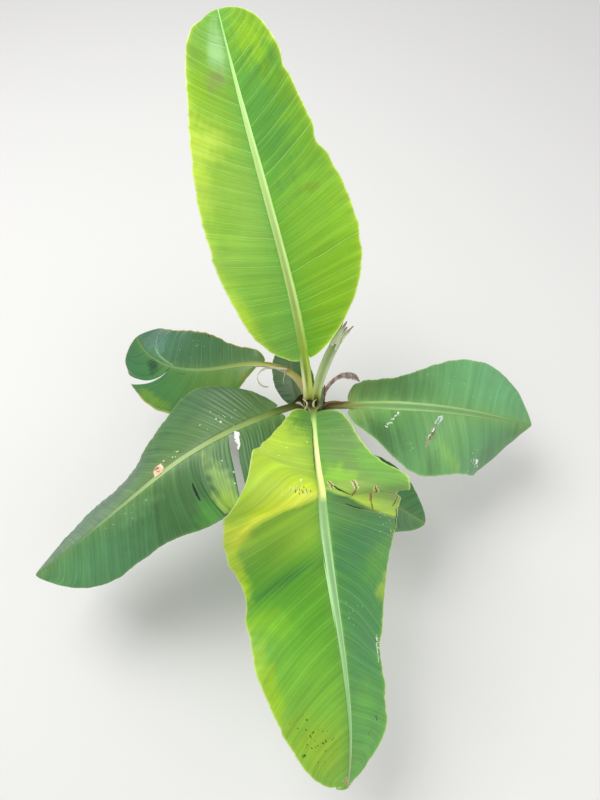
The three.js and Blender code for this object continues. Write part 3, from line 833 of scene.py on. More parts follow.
leafFront = leafOf(
    foot=[3, -10, 328], stalk=40, length=690, heading=[270, 273, 280, 277, 264], pitch=[45, 27, 30, 29, 12],
    roll=[1, 9, 15, 16], bend=(0.35, -61, 0.045),
    sines=[[134, 2, -18, -2, 9, 12, -7], [139, -8, -18, 0, 7, 5, -1]], fold=[[21, 12, 9], [23, 20, 52]],
    foldAfter=[[-4, -31, -33, -19], [20, -40, -14, 10]], curl=[0, 0],
    rib=[5, 4.2, 4.4, 6, 8, 7.8, 6.4, 4.7, 3.4, 2.2, 1.4], widths=[19, 17, 10], depths=[8, 9, 9], wide=135,
    lean=[0.25, 0.35, 0.7, 0.75, 0.8, 0.9], stations=335, pleat=7.5, pleatHeight=0.6, flutter=3, seed=23,
    sheath=(75, 21, 21, 120, 3, 24),
    nicks=[
        (0.66, -5, 70, -1), (0.92, -4, 40, -1), (0.282, -9, 34, -1), (0.352, 13, 14, -1), (0.4, 13, 44, -1),
        (0.986, 13, 5, 1), (0.985, 8, 5, -1), (0.955, 4, 7, -1), (0.25, 2.5, 40, 1), (0.31, 7, 14, 1),
        (0.339, -6, 22, 1), (0.535, 12, 55, 1), (0.63, 4, 40, 1),
    ],
    tints=["#739155 #7d965f #4b9146 #5a9b50 #78af50", "#73a546 #bedc50 #64a52d #78b43c #82b946"],
    gain=[[0.75, 0.97, 0.78], [0.9, 0.96, 0.58]], byRib="#68a042", byRibReach=11, margin=("#bed654", 3),
    rim=("#d6ea8c", 1.5, 0.6), under="#96be78", pleatShade=0.17,
    # The first five bands paint the fold's light and shade: a bright yellow band on the side of the fold that faces
    # the light, with a paler painted highlight along it, and painted shade past the fold, where the blade turns
    # away.
    bands=[
        (1, 14, 5, [0.309, 0.322, 0.336, 0.362, 0.43], [0.5, 0.85, 1, 1, 0.95], "#faff3c"),
        (1, 4, 2.5, [0.308, 0.323, 0.337, 0.364, 0.43], [0.3, 0.6, 0.8, 0.8, 0.4], "#ffff82"),
        (1, 0.8, 30, [0.319, 0.334, 0.35, 0.382, 0.45], [0.6, 0.65, 0.6, 0.4, 0], "#58962e"),
        (-1, 32, 2.5, [0.298, 0.322, 0.362, 0.402, 0.43], [0.1, 0.6, 1, 1, 0.9], "#e0e84e"),
        (-1, 0.8, 9, [0.3, 0.327, 0.37, 0.41, 0.44], [0.9, 0.9, 0.5, 0.1, 0], "#387428"),
        (1, 13, 10, [0.452, 0.476, 0.504, 0.535, 0.567], [0.5, 0.7, 0.85, 0.85, 0.8], "#3a7e3e"),
    ],
    patches=[
        (-1, 0.262, 0.24, 0.035, 0.24, "#aad446", 0.6, 0.7), (1, 0.2, 0.9, 0.1, 0.3, "#d4ea54", 0.7),
        (1, 0.04, 0.4, 0.085, 0.6, "#528a38", 0.85), (1, 0.385, 0.99, 0.04, 0.26, "#e2e842", 0.9),
        (1, 0.46, 0.97, 0.09, 0.12, "#bed828", 0.85), (-1, 0.24, 0.85, 0.07, 0.3, "#88be48", 0.6),
        (-1, 0.04, 0.5, 0.07, 0.6, "#64924a", 0.75), (1, 0.595, 0.75, 0.04, 0.3, "#92c814", 0.55, 0.4, 20, 0.7),
        (1, 0.72, 0.93, 0.12, 0.15, "#9ec41e", 0.75), (1, 0.87, 0.55, 0.09, 0.5, "#96bc30", 0.85),
        (-1, 0.455, 0.45, 0.06, 0.5, "#488a54", 0.75), (-1, 0.52, 0.75, 0.05, 0.3, "#6eac32", 0.6),
        (-1, 0.68, 0.6, 0.1, 0.35, "#4c8e54", 0.6), (-1, 0.8, 0.4, 0.06, 0.3, "#74b63e", 0.6),
        (-1, 0.59, 0.9, 0.03, 0.14, "#becc3c", 0.7, 0.6),
    ],
    scars=[
        (-1, [0.281, 0.1, 0.292, 0.12, 0.305, 0.13], [4, 7, 4.5], "#68542c #e8e89e", 0.3, dict(edgeFall=1.4)),
        # The next mark is painted shadow: a dark line along the fold's edge, running on from the brown spot.
        (-1, [0.294, 0.13, 0.305, 0.2, 0.312, 0.26, 0.322, 0.33], [1.4, 2.6, 2.2, 1], "#283816", 0.3),
        (-1, [0.286, 0.38, 0.297, 0.405, 0.308, 0.39], [5, 8, 6], "#685a32 #ececaa", 0.3, dict(edgeFall=1.2)),
        (-1, [0.308, 0.385, 0.318, 0.355, 0.328, 0.33], [5, 4.5, 2.5], "#786a3c #bebe74", 0.6),
        (-1, [0.345, 0.25, 0.36, 0.36, 0.374, 0.48], [1, 2.2, 1], "#2c4e1e", 0.3),
        (-1, [0.3, 0.62, 0.312, 0.625, 0.326, 0.605], [5, 8.5, 6], "#64502c #e8e292", 0.3, dict(edgeFall=1.3)),
        (-1, [0.326, 0.605, 0.342, 0.58, 0.36, 0.575], [4.5, 6.5, 4.5], "#786234 #cec860", 0.3, dict(edgeFall=1.6)),
        (-1, [0.36, 0.575, 0.376, 0.585, 0.392, 0.59], [3.5, 3, 1.6], "#888242", 0.4),
        (-1, [0.34, 0.93, 0.354, 0.935, 0.368, 0.93], [5, 8, 6], "#645432 #e2da96", 0.3, dict(edgeFall=1.4)),
        (-1, [0.366, 0.93, 0.376, 0.91, 0.386, 0.875], [4.5, 4.5, 2.5], "#6c6238 #c4c274", 0.4),
        (-1, [0.39, 0.965, 0.42, 0.975, 0.455, 0.975], [3, 4, 2], "#3c4228 #96966e", 0.4),
        (-1, [0.685, 0.87, 0.7, 0.9, 0.72, 0.9, 0.745, 0.89], [2, 2.6, 2.2, 1.6], "#e0ecd2", 0.9),
        (-1, [0.425, 0.84, 0.435, 0.85], [2.5, 2], "#bec496", 0.7),
        (-1, [0.455, 0.9, 0.47, 0.92], [2.5, 2], "#c4be8c", 0.7),
        (1, [0.05, 0.09, 0.11, 0.075, 0.18, 0.066, 0.26, 0.066], [2, 2.4, 2, 1.2], "#5c7022", 0.4, dict(dry=0.4)),
        (1, [0.96, 0.16, 0.975, 0.12, 0.99, 0.1], [4, 5, 4], "#968c60 #d2d6a0", 0.6),
    ],
    specks=[
        (1, 0.84, 0.6, 0.05, 0.3, 34, 1.6, "#544e1e"), (1, 0.875, 0.75, 0.03, 0.2, 3, 2.6, "#3c3818"),
        (1, 0.311, 0.24, 0.004, 0.2, 16, 2, "#e2e682"), (1, 0.311, 0.24, 0.0035, 0.18, 16, 1.2, "#847632"),
        (-1, 0.87, 0.6, 0.04, 0.3, 7, 2.2, "#545028"), (-1, 0.16, 0.5, 0.12, 0.4, 5, 1.8, "#c4c46e"),
        (1, 0.25, 0.5, 0.1, 0.4, 5, 2.2, "#f0fabe"), (-1, 0.42, 0.75, 0.04, 0.14, 9, 1.8, "#a0c4aa"),
        (-1, 0.6, 0.3, 0.06, 0.3, 10, 1.5, "#aaceb0"),
    ],
    # The dark first row of ribTop is painted shade deep in the crown. The light rows before the bend and the darker
    # one at 0.37 are partly the midrib's own pale tone and partly the fold's painted light and shade.
    ribTop=[
        (0, "#5f6928 #1e2800 #4b500f"), (0.11, "#afd773 #cdf08c #d2f596"), (0.24, "#fafaaf #faffb9 #cdd796"),
        (0.35, "#e6f58c #e1f091 #bed278"), (0.37, "#91c373 #91b973 #9bc878"), (0.51, "#afe19b #87b473 #b9eba5"),
        (0.86, "#a5d791 #96c882 #7db45f"), (1, "#aab478 #9ba06e #9ba56e"),
    ],
    belly="#96aa60 #96ba68 #96bc6e", sheathTints="#78843e #786838 #3e3c16", ribGain=1.05,
)
leafPieces("leaf_front", leafFront, sunlitSkin, "blade_sunlit", "leaf_front_blade_inner", "leaf_front_blade_outer")

leafLeft = leafOf(
    foot=[-18, 5, 305], stalk=45, length=542, heading=[211, 210.5, 212.5, 216.5, 213.5, 211, 208],
    pitch=[26, 0, -23, -27], roll=[0, -3, -1], sines=[[120, 16, 8, 0, -5, 5], [115, 10, 13, -4, -13]],
    fold=[[9, -9, -21, -23], [10, -12, -38, -41]], curl=[-8, -9],
    rib=[6.7, 6.1, 5.6, 5, 4.4, 3.9, 3.4, 2.9, 2.4, 1.8, 1.2], widths=[24, 14, 13.5], depths=[8, 9, 9], wide=120,
    lean=[0.4, 0.5, 0.66, 0.7, 0.74, 0.78, 0.85], stations=385, pleat=7.5, pleatHeight=0.9, flutter=4, seed=37,
    sheath=(110, 23, 24, 140, 3, 22),
    nicks=[
        (0.11, 13, 80, 1), (0.53, -7, 45, -1),
    ],
    tears=[
        dict(hand=-1, at=0.2, fades=(0.2, 0.11), drop=(-2, 2),
             move=[[-0.004, -0.028, -0.036, -0.046, -0.056],
                   [0.003, 0, -0.01, -0.018, -0.026]]),
        dict(hand=-1, at=0.312, fades=(0.11, 0.24), drop=(7, -4),
             move=[[0, -0.004, -0.022, -0.057, -0.108],
                   [-0.002, -0.014, -0.04, -0.078, -0.125]]),
    ],
    tints=["#507332 #55824b #4b7846 #5a8c64 #73aa73", "#5a783c #557d50 #69965a #5f8c64 #558c5f"],
    gain=[[0.66, 0.8, 0.64], [0.64, 0.72, 0.62]], byRib="#7c9c5e", byRibReach=18, margin=("#789c60", 3),
    under="#8ca880", pleatShade=0.3,
    patches=[
        (-1, 0.305, 0.6, 0.035, 0.5, "#b2cc74", 0.85, 0.7, 20, 1.0, 0, 0.2, 0.312),
        (-1, 0.33, 0.9, 0.05, 0.25, "#c8dc60", 0.8, 0.4, 20, 1.0, 0, 0.2, 0.312),
        (-1, 0.39, 0.88, 0.06, 0.25, "#5ca43c", 0.8, 0.4, 20, 1.0, 0, 0.312),
        (1, 0.45, 0.16, 0.05, 0.16, "#96a26a", 0.6, 0.6), (1, 0.3, 0.3, 0.12, 0.25, "#70984c", 0.5),
        (1, 0.62, 0.7, 0.2, 0.3, "#426852", 0.6), (-1, 0.8, 0.5, 0.18, 0.5, "#689e6e", 0.5),
        (-1, 0.6, 0.2, 0.1, 0.2, "#7ea876", 0.5, 0.7),
    ],
    scars=[
        (1, [0.443, 0.02, 0.455, 0.1, 0.467, 0.2], [20, 25, 18], "#e0bc98 #f6ecce", 0.15, dict(grain=6, blunt=2.4)),
        (1, [0.448, 0.14, 0.458, 0.17, 0.466, 0.17], [2, 4, 2.5], "#966850", 0.5, dict(lift=0.4)),
        (1, [0.452, 0.07, 0.462, 0.09], [1.5, 1.8], "#b07e62", 0.5, dict(lift=0.4)),
        (-1, [0.193, 0.05, 0.206, 0.14, 0.222, 0.24, 0.238, 0.34], [9, 8, 6, 3], "#f0f4f0", 0.35, dict(vein=0.18)),
        (-1, [0.412, 0.38, 0.436, 0.52, 0.458, 0.66], [1.2, 3.4, 1.4], "#142414", 0.3, dict(vein=0.34)),
        (1, [0.205, 0.18, 0.21, 0.22], [3, 2], "#c4dab8", 0.6),
        (1, [0.212, 0.27, 0.215, 0.3], [3, 2], "#bed6b0", 0.6),
    ],
    specks=[
        (-1, 0.28, 0.3, 0.03, 0.4, 3, 2.2, "#cee4ce"), (1, 0.24, 0.3, 0.08, 0.2, 5, 1.8, "#b4cea0"),
        (1, 0.4, 0.18, 0.05, 0.08, 7, 2.2, "#ced8a0"), (-1, 0.62, 0.15, 0.1, 0.14, 10, 2, "#96be96"),
        (1, 0.175, 0.2, 0.02, 0.15, 4, 1.8, "#c8daba"),
    ],
    # The dark first row of ribTop is painted shadow on the stalk's foot.
    ribTop=[
        (0, "#5a501e #463c0f #505019"), (0.1, "#73873c #738737 #6e8c41"), (0.2, "#96b464 #96af5f #82a055"),
        (0.5, "#bed78c #afc882 #96aa6e"), (0.82, "#739b6e #699169 #507d5a"), (1, "#699669 #5f8c64 #55825a"),
    ],
    belly="#808c4c #7e9c5c #789860", sheathTints="#70763a #6a5430 #3e3c16", ribGain=0.92, channelHalf=[0.5],
)
leafPieces("leaf_left", leafLeft, matureSkin, "blade_mature")

leafRight = leafOf(
    foot=[19, 1, 299], stalk=49, length=408, heading=[-2, -1, 2, 8], pitch=[17, -4, -23, -35], roll=[5, -7, -25],
    sines=[[127, -19, 5, 11, 2, 4], [131, -14, -2, -2, -5, 8]], fold=[[-10, -20, -18, -15], [-5, -18, -26, -41]],
    curl=[-8, -12], rib=[7.8, 7.8, 9.36, 9.12, 8.64, 7.92, 6.96, 5.52, 3.84, 2.52, 1.56], widths=[22, 13, 15.6],
    depths=[8, 9, 8], wide=125, lean=[0.2, 0.3, 0.5, 0.7, 0.85], stations=355, pleat=8, pleatHeight=0.45,
    flutter=5, seed=41, sheath=(105, 23, 23.5, 140, 3, 22),
    nicks=[
        (0.06, 3, 9, -1), (0.85, -7, 60, -1), (0.97, -6, 20, -1), (0.93, 4, 16, 1),
    ],
    tints=["#698741 #507d3c #69a05f #6eaa6e #69a069", "#699141 #558c4b #73aa64 #649b69 #507d41"],
    gain=[[0.94, 1.03, 1.04], [0.98, 1.06, 0.98]], byRib="#76a258", byRibReach=15, margin=("#96ba6e", 2.5),
    rim=("#b0ce8c", 1.4, 0.5), under="#8cac80", pleatShade=0.07,
    patches=[
        (1, 0.446, 0.5, 0.022, 0.12, "#8cb860", 0.5, 0.12, 20, 0.6),
        (1, 0.478, 0.59, 0.024, 0.12, "#92c05c", 0.5, 0.12, 20, 0.6),
        (1, 0.515, 0.69, 0.028, 0.12, "#98c458", 0.5, 0.12, 20, 0.6),
        (1, 0.555, 0.79, 0.03, 0.12, "#9cc854", 0.5, 0.12, 20, 0.6),
        (1, 0.6, 0.89, 0.032, 0.12, "#96c454", 0.5, 0.12, 20, 0.6), (1, 0.44, 0.8, 0.05, 0.25, "#508246", 0.5),
        (1, 0.16, 0.8, 0.1, 0.4, "#3a6436", 0.6), (1, 0.05, 0.3, 0.06, 0.4, "#829240", 0.3, 0.4, 20, 1.0, 0.3),
        (-1, 0.02, 0.4, 0.03, 0.5, "#8c964a", 0.4, 0.4, 20, 1.0, 0.3), (1, 0.82, 0.7, 0.1, 0.35, "#4a7a42", 0.5),
    ],
    scars=[
        (1, [0.446, 0.1, 0.44, 0.14, 0.43, 0.2, 0.424, 0.26], [5, 9, 9, 8], "#c8d8ce", 0.35, dict(grain=6)),
        (1, [0.437, 0.13, 0.428, 0.2, 0.42, 0.27], [2, 4.4, 3], "#769e70", 0.6, dict(lift=0.22)),
        (1, [0.424, 0.26, 0.41, 0.34, 0.396, 0.42, 0.386, 0.5, 0.38, 0.6], [8, 12, 12, 9, 4], "#92a074", 0.5,
         dict(grain=6)),
        (1, [0.418, 0.28, 0.404, 0.37, 0.39, 0.46], [3, 6, 3.5], "#647646", 0.7, dict(lift=0.22)),
        (1, [0.414, 0.29, 0.404, 0.35], [3.4, 3], "#e4eae2", 0.8, dict(lift=0.3)),
        (1, [0.396, 0.38, 0.386, 0.45], [3, 2.5], "#d6e0d0", 0.8, dict(lift=0.3)),
        (1, [0.38, 0.62, 0.38, 0.7], [4, 2], "#8c9c60", 0.8),
        (1, [0.238, 0.13, 0.23, 0.17], [4.4, 4], "#e6eee8", 0.4, dict(blunt=2)),
        (1, [0.226, 0.18, 0.218, 0.23], [2.6, 2.4], "#d6e2d6", 0.6),
        (1, [0.214, 0.25, 0.205, 0.31], [2.8, 2.6], "#d6e2d6", 0.6),
        (1, [0.208, 0.35, 0.194, 0.37], [2, 3], "#cedcce", 0.6),
        (1, [0.19, 0.38, 0.182, 0.44], [2.6, 2.4], "#cedcce", 0.6),
        (1, [0.186, 0.48, 0.172, 0.5], [2, 2.6], "#c4d4c2", 0.6),
        (1, [0.722, 0.71, 0.738, 0.76, 0.748, 0.8], [5, 9, 7], "#ecf4ea", 0.5, dict(blunt=3)),
        (1, [0.7, 0.7, 0.712, 0.78], [2, 2], "#cedec8", 0.6),
        (1, [0.76, 0.82, 0.77, 0.86], [4, 3], "#dce8d8", 0.6, dict(blunt=3)),
    ],
    specks=[
        (1, 0.7, 0.75, 0.05, 0.18, 12, 2, "#c4d8be"), (-1, 0.5, 0.5, 0.25, 0.4, 9, 1.8, "#b0ceac"),
        (1, 0.3, 0.62, 0.02, 0.08, 6, 2, "#96be78"),
    ],
    ribTop=[
        (0, "#735f32 #5a4b23 #786937"), (0.09, "#736432 #787832 #827d37"), (0.13, "#969b50 #7d8c41 #96a050"),
        (0.2, "#a0c36e #78a055 #91b969"), (0.36, "#aad287 #73a064 #9bc87d"), (1, "#7da55f #739b5a #73a05a"),
    ],
    belly="#808c4c #7e9c5c #789860", sheathTints="#747a3c #6a5430 #3e3c16", ribGain=0.98, channelHalf=[0.3],
)
leafPieces("leaf_right", leafRight, matureSkin, "blade_mature")

leafBackLeft = leafOf(
    foot=[-3, 20, 290], stalk=118, length=335, heading=[112, 164, 176, 165, 143, 114],
    pitch=[57, 12, -21, -20, -15, -3], roll=[-2, 6, 17], sines=[[87, -18, -7, -8, -2, -3], [89, -13, -2, -1, 5]],
    fold=[[-6, -15, -19, -19], [-8, -11, -7, 1]], curl=[-9, -4],
    rib=[5, 4.6, 4.2, 3.8, 3.4, 3, 2.6, 2.3, 2, 1.7, 1.4], widths=[22, 13, 10], depths=[7, 8, 7], wide=88,
    lean=[0.3, 0.4, 0.6, 0.8], stations=330, columns=48, pleat=8, pleatHeight=0.4, flutter=4, seed=53,
    sheath=(110, 24, 24.5, 135, 3, 26),
    nicks=[
        (0.46, 3, 4, 1), (0.8, 4, 4, 1), (0.62, 2, 4, 1),
    ],
    tears=[
        dict(hand=-1, at=0.62, fades=(0.3, 0.36), drop=(2, -3),
             move=[[0, 0, 0.02, 0.045, 0.06],
                   [0.001, 0.008, 0.04, 0.085, 0.115]]),
    ],
    tints=["#698c3c #648c3c #5a8c46 #4b8755 #417850", "#698746 #558246 #4b7d4b #50875f #508269"],
    gain=[[0.64, 0.78, 0.58], [0.52, 0.62, 0.56]], byRib="#6a924c", byRibReach=8, margin=("#96984c", 2),
    rim=("#b6b06e", 1.6, 0.75), under="#829c74", pleatShade=0.08, streakShade=0.06,
    patches=[
        (1, 0.64, 0.99, 0.25, 0.035, "#ba9e5c", 0.95, 0.6, 8, 2, 1),
        (-1, 0.65, 0.985, 0.16, 0.035, "#cece60", 0.9, 0.4, 20, 1.0, 0.6),
        (-1, 0.68, 0.85, 0.12, 0.16, "#8cac38", 0.7), (1, 0.83, 0.35, 0.09, 0.35, "#6e9e8c", 0.6, 0.7, 9),
        (-1, 0.75, 0.15, 0.05, 0.2, "#1c482c", 0.8), (1, 0.9, 0.5, 0.06, 0.3, "#46786a", 0.5),
        (-1, 0.28, 0.5, 0.14, 0.5, "#76963e", 0.6),
    ],
    scars=[
        (1, [0.6, 0.03, 0.7, 0.09, 0.785, 0.18, 0.85, 0.3], [2, 4, 4, 1.5], "#70966c", 0.4, dict(dry=0.4)),
        (1, [0.76, 0.15, 0.82, 0.3, 0.88, 0.45], [1.5, 2.6, 1], "#68927a", 0.5, dict(dry=0.4)),
        (1, [0.78, 0.2, 0.86, 0.42, 0.9, 0.62], [1.5, 2.2, 1], "#648e76", 0.5, dict(dry=0.4)),
        (1, [0.74, 0.25, 0.78, 0.42], [2, 1], "#608870", 0.5, dict(dry=0.4)),
        (-1, [0.1, 0.35, 0.13, 0.6, 0.14, 0.8], [1.5, 2.5, 1.5], "#967a42", 0.6),
        (-1, [0.5, 0.1, 0.57, 0.13], [3, 2], "#426e42", 0.5, dict(dry=0.2)),
    ],
    specks=[
        (1, 0.8, 0.97, 0.008, 0.04, 9, 2.6, "#6c4224"), (1, 0.46, 0.96, 0.008, 0.05, 9, 2.6, "#684024"),
        (1, 0.6, 0.5, 0.2, 0.4, 10, 2, "#6e966e"), (-1, 0.12, 0.7, 0.04, 0.3, 8, 2, "#a08446"),
    ],
    ribTop=[
        (0, "#cdc396 #beaa78 #c8b482"), (0.04, "#d7cda5 #c8b47d #cdbe87"), (0.16, "#dcd2b4 #cdbe73 #afaa55"),
        (0.36, "#91a05a #879641 #788c3c"), (0.64, "#6e965a #699155 #648c4b"), (1, "#5a8255 #558250 #557d50"),
    ],
    belly="#cec8aa #c4bc96 #96a06c #7c9660", sheathTints="#8c7c4e #6e5438 #3e3c16", ribDryness=0.6,
)
leafPieces("leaf_back_left", leafBackLeft, matureSkin, "blade_mature", stalkSlot="old_stalk")

leafLowRight = leafOf(
    foot=[11, -16, 209], stalk=60, length=224, heading=[310, 310, 323, 342], pitch=[28, 7, -12, -25],
    roll=[0, -2, -4], sines=[[66, -4, -3], [61, 5, -5]], fold=[[-7, -11, -11], [-8, -14, -17]], curl=[-4, -6],
    rib=[5.5, 4.8, 3.9, 2.8, 1.6], widths=[24, 13, 11], depths=[6, 6, 6], wide=62, lean=[0.4, 0.5, 0.8],
    stations=220, columns=36, pleat=7, pleatHeight=0.8, flutter=3, seed=67, sheath=(90, 26.5, 26.5, 130, 3, 24),
    tints=["#4e7646 #507c4c #5a8656 #547e50", "#4e7646 #548050 #608a60 #5c844e"],
    gain=[[0.66, 0.84, 0.7], [0.66, 0.84, 0.7]], byRib="#6a9054", byRibReach=9, margin=("#88b060", 2.5),
    under="#82a076",
    ribTop=[
        (0, "#696e32 #555a23 #696e32"), (0.11, "#788246 #5f7337 #788246"), (0.44, "#7d9655 #698c4b #7d9655"),
        (1, "#6e9155 #648750 #6e9155"),
    ],
    belly="#7c864c #78965a", sheathTints="#6c683a #6e5438 #3e3c16",
)
leafPieces("leaf_low_right", leafLowRight, matureSkin, "blade_shaded")

leafLowBack = leafOf(
    foot=[-5, 18, 180], stalk=45, length=165, heading=[108, 104, 98], pitch=[32, 8, -8, -22], roll=[0, 0],
    sines=[[43, 3, 0], [45, 3, 0]], fold=[[-8, -12], [-8, -12]], curl=[-6, -6], rib=[4.5, 3.9, 3.2, 2.4, 1.6],
    widths=[22, 11, 9], depths=[6, 6, 5], wide=44, lean=[0.4, 0.5, 0.8], stations=180, columns=30, pleat=6,
    pleatHeight=0.7, flutter=2, seed=79, sheath=(80, 27.5, 27.5, 125, 3, 22),
    # Its dark tints are partly its own dark green and partly painted shade, as it lies low under the other leaves.
    tints=["#3a622e #365c2a #3a6030", "#3e6632 #3a602e #3e6432"], byRib="#4c683e", byRibReach=7,
    margin=("#54703c", 2), under="#68805c",
    ribTop=[
        (0, "#5a5a32 #4b4b28 #5a5a32"), (0.25, "#5a6937 #4b5f32 #5a6937"), (1, "#506e3c #466437 #506e3c"),
    ],
    belly="#686e40 #5c7644", sheathTints="#645c36 #604830 #3e3c16",
)
leafPieces("leaf_low_back", leafLowBack, matureSkin, "blade_shaded")


# Torn stalk, dry leaf, loose tissue at the crown, and the stem

# strips: place across, splay, first and last share of the stalk, width, droop
tornStalk = leafOf(
    foot=[9.5, 4.5, 329.6], stalk=166, heading=[72, 56, 46], pitch=[77, 51, 51], roll=[0, 0],
    widths=[16, 17, 17.5, 17, 16.5], depths=[8, 8, 7, 6, 5], endsAt=0.88, seed=83, sheath=(50, 13, 12, 115, 2, 26),
    strips=[
        (-5.4, -1.5, 0.68, 0.98, 7.5, 3), (-1.2, 0.8, 0.72, 1.0, 6, -1), (2.4, 1.2, 0.72, 0.95, 6, 1),
        (5.6, 3.2, 0.66, 0.985, 6, 5),
    ],
    stripTints="#e8eece #96825c",
    # The stalk's pale tints are its own; the rows near its foot are lighter still, painted light set against the
    # shade of the crown.
    ribTop=[
        (0, "#cddc6e #b9c85a #d7e182"), (0.062, "#e1eb96 #c8d77d #e1f0a5"), (0.25, "#c8d296 #aabe82 #d2dcaf"),
        (0.56, "#b4c391 #a0b47d #cdd7af"), (1, "#b9c896 #afbe8c #c8d2aa"),
    ],
    belly="#96a460 #9cac6c #a0ae74", sheathTints="#7c884c #70603a #b0bc6c",
)

stripSet = dict(
    seed=90,
    narrow=(3, 0.12, 0.6),  # towards its end: how fast, down to what share, power
    ragged=(0.15, 8),  # share of the width, wave length
    lift=(1.6, 0.3, 0.9),  # over the stalk, less for each millimetre to the side, more towards the end
    belly=0.5,
    browning=(1.6, 0.7),
    thick=0.9,
    dryness=0.5,
)


# strips that the torn stalk frays into, each a sheet along the stalk that narrows and droops
def frayedStrips(leaf):
    spine = spineOf(leaf)
    fast, least, power = stripSet["narrow"]
    much, wave = stripSet["ragged"]
    over, aside, onward = stripSet["lift"]
    rate, start = stripSet["browning"]
    fresh, dry = rgb(leaf["stripTints"])
    for k, (offset, splay, first, last, wide, droop) in enumerate(leaf["strips"]):
        w = np.linspace(0, 1, 40)
        place, direction, side, up = frameAt(leaf, spine, first + (last - first) * w)
        s = np.linspace(-1, 1, 7)[None, :]
        ragged = 1 + much * drift(w * 40, 0 * w, wave, stripSet["seed"] + k)
        width = wide / 2 * np.clip((1 - w) * fast, least, 1) ** power * ragged
        outward = offset + splay * w**2 * 2
        lift = over - aside * abs(offset) + onward * w - droop * w**3
        grid = place[:, None] + side[:, None] * (outward[:, None] + s * width[:, None])[..., None]
        grid = grid + up[:, None] * (lift[:, None] - stripSet["belly"] * s**2)[..., None]
        tint = mixTint(fresh + 0 * grid, dry, ease(w * rate - start)[:, None] + 0 * s)
        yield sheetOf(grid, stripSet["thick"], tint, s * 3 + 8 * k, stripSet["dryness"])


stalkOf("torn_stalk_skin", tornStalk, tornFlesh, "leaf_stalk", "torn_leaf_stalk", extra=frayedStrips(tornStalk))

dryLeaf = leafOf(
    foot=[17, 10, 262], stalk=160, heading=[78, 54, 24, 0], pitch=[77, 47, -22, -78], roll=[0, 0],
    halves=[[8, 5, 4, 4, 3.6, 3.6, 4, 4.5, 4, 3], [8, 5, 5, 5, 5, 5.5, 9, 12, 8, 2]],
    curl=[60, 60, 70, 80, 80, 60, 24, 10, 20, 60],
    crinkle=((160, 12, 1.1), (40, 3, 0.5)),  # waves along it, wave length, height
    tints="#b6a49c #806c62 #ded2c4",  # over all, painted shade in the crinkles' hollows, at its edges
    folds=(0.5, 0.45),  # share of the painted shade's tint where the crinkles are level, and how much their height changes it
    edge=(0.8, 8),
    ragged=(0.1, 160, 7),
    seed=131,
    thick=0.9,
)


# Dry strap: across it the section is an arc of the curl's angle, crinkled by noise, its right side
# spread into a plate near its tip. Its tint darkens in the crinkles' hollows and lightens on their crests:
# painted shade.
def dryStrap(leaf):
    t = np.linspace(0, 1, 170)
    place, direction, side, up = frameAt(leaf, spineOf(leaf), t)
    s = np.linspace(-1, 1, 29)[None, :]
    width = np.where(s < 0, *(along(half, t)[:, None] for half in leaf["halves"]))
    bend = along(leaf["curl"], t)[:, None] * degree
    out = width * np.sin(bend * np.abs(s)) / bend * np.sign(s)
    fall = width * (1 - np.cos(bend * s)) / bend
    crinkle = 0
    for k, (run, wave, high) in enumerate(leaf["crinkle"]):
        crinkle = crinkle + high * drift(t[:, None] * run, s * width, wave, leaf["seed"] + k)
    much, run, wave = leaf["ragged"]
    ragged = 1 + much * drift(t[:, None] * run + 0 * s, s, wave, leaf["seed"] + 2)
    grid = place[:, None] + side[:, None] * (out * ragged)[..., None] + up[:, None] * (crinkle - fall)[..., None]
    own, hollowShade, edge = rgb(leaf["tints"])
    share, change = leaf["folds"]
    tint = mixTint(own + 0 * grid, hollowShade, share - change * crinkle)
    share, power = leaf["edge"]
    tint = mixTint(tint, edge, share * np.abs(s) ** power + 0 * crinkle)
    return sheetOf(grid, leaf["thick"], tint, s * width * 1.2)


objectOf("dry_leaf_skin", [dryStrap(dryLeaf)], dryTissue, "dry_leaf", slot="dry_leaf")

crownSet = dict(  # path, widths, way across, tint, bulge, thickness, dryness
    pale=[
        ([(-44, 61, 338), (-60, 61, 340), (-78, 63, 340), (-93, 60, 335),
          (-100, 51, 328), (-97, 43, 319), (-89, 39, 312), (-79, 41, 307)],
         [5, 5, 4, 3.4, 3.2, 3, 2.6, 1.4], (0.1, 0.75, 0.6), "#cec8b2", 0.8, 1.0),
        ([(-49, 60, 339), (-49, 52, 333), (-51, 45, 325), (-50, 40, 316)],
         [3, 2, 1.8, 0.8], (1, 0, 0.2), "#beb88c"),
    ],
    membranes=[
        ([(-15, 2, 329), (-10, -4, 332), (-7, -9, 333), (-8, -14, 331), (-12, -17, 326)],
         [5, 8, 9, 8, 5], (-0.35, -0.2, 1), "#e0d8ba", 1.2),
        ([(-27, 4, 310), (-22, 1, 316), (-17, -3, 319), (-13, -7, 318)],
         [4, 7, 8, 5], (-0.5, 0.4, 1), "#d6d0b8", -1.2),
        ([(9, 1, 330), (5, -4, 333), (4, -10, 334), (5, -15, 331), (10, -19, 326)],
         [5, 8, 9, 8, 5], (0.3, -0.2, 1), "#dcd0a4", 1.2),
        ([(10, -1, 318), (14, -5, 323), (14, -10, 324), (9, -14, 320)],
         [5, 7, 7, 4], (0.6, -0.3, 1), "#ceccb6", 1.4),
    ],
    oldSheath=[
        ([(13, -6, 276), (15, -3, 300), (17, 4, 318), (18.5, 14, 326), (19.5, 27, 330)],
         [14, 12, 10, 9, 8], (1, -0.1, 0.05), "#708662", 2.2, 2.2, 0.3),
        ([(21, 2, 286), (24, 8, 302), (25, 16, 312), (25.5, 26, 318), (26, 37, 320)],
         [7, 5, 4, 4, 2], (1, 0, -0.5), "#70563e", 0.8, 0.9),
        ([(20, -3, 290), (24, 3, 301), (33, 7, 307), (45, 7, 311), (58, 5, 313)],
         [6, 5, 4, 3, 1.5], (0.1, 1, 0.7), "#967a58", 0.8, 0.9),
    ],
)

ribbonSet = dict(
    seed=140,
    ragged=(0.3, 9),  # share of the width, wave length
    shade=(0.12, 8),
    run=60,
)


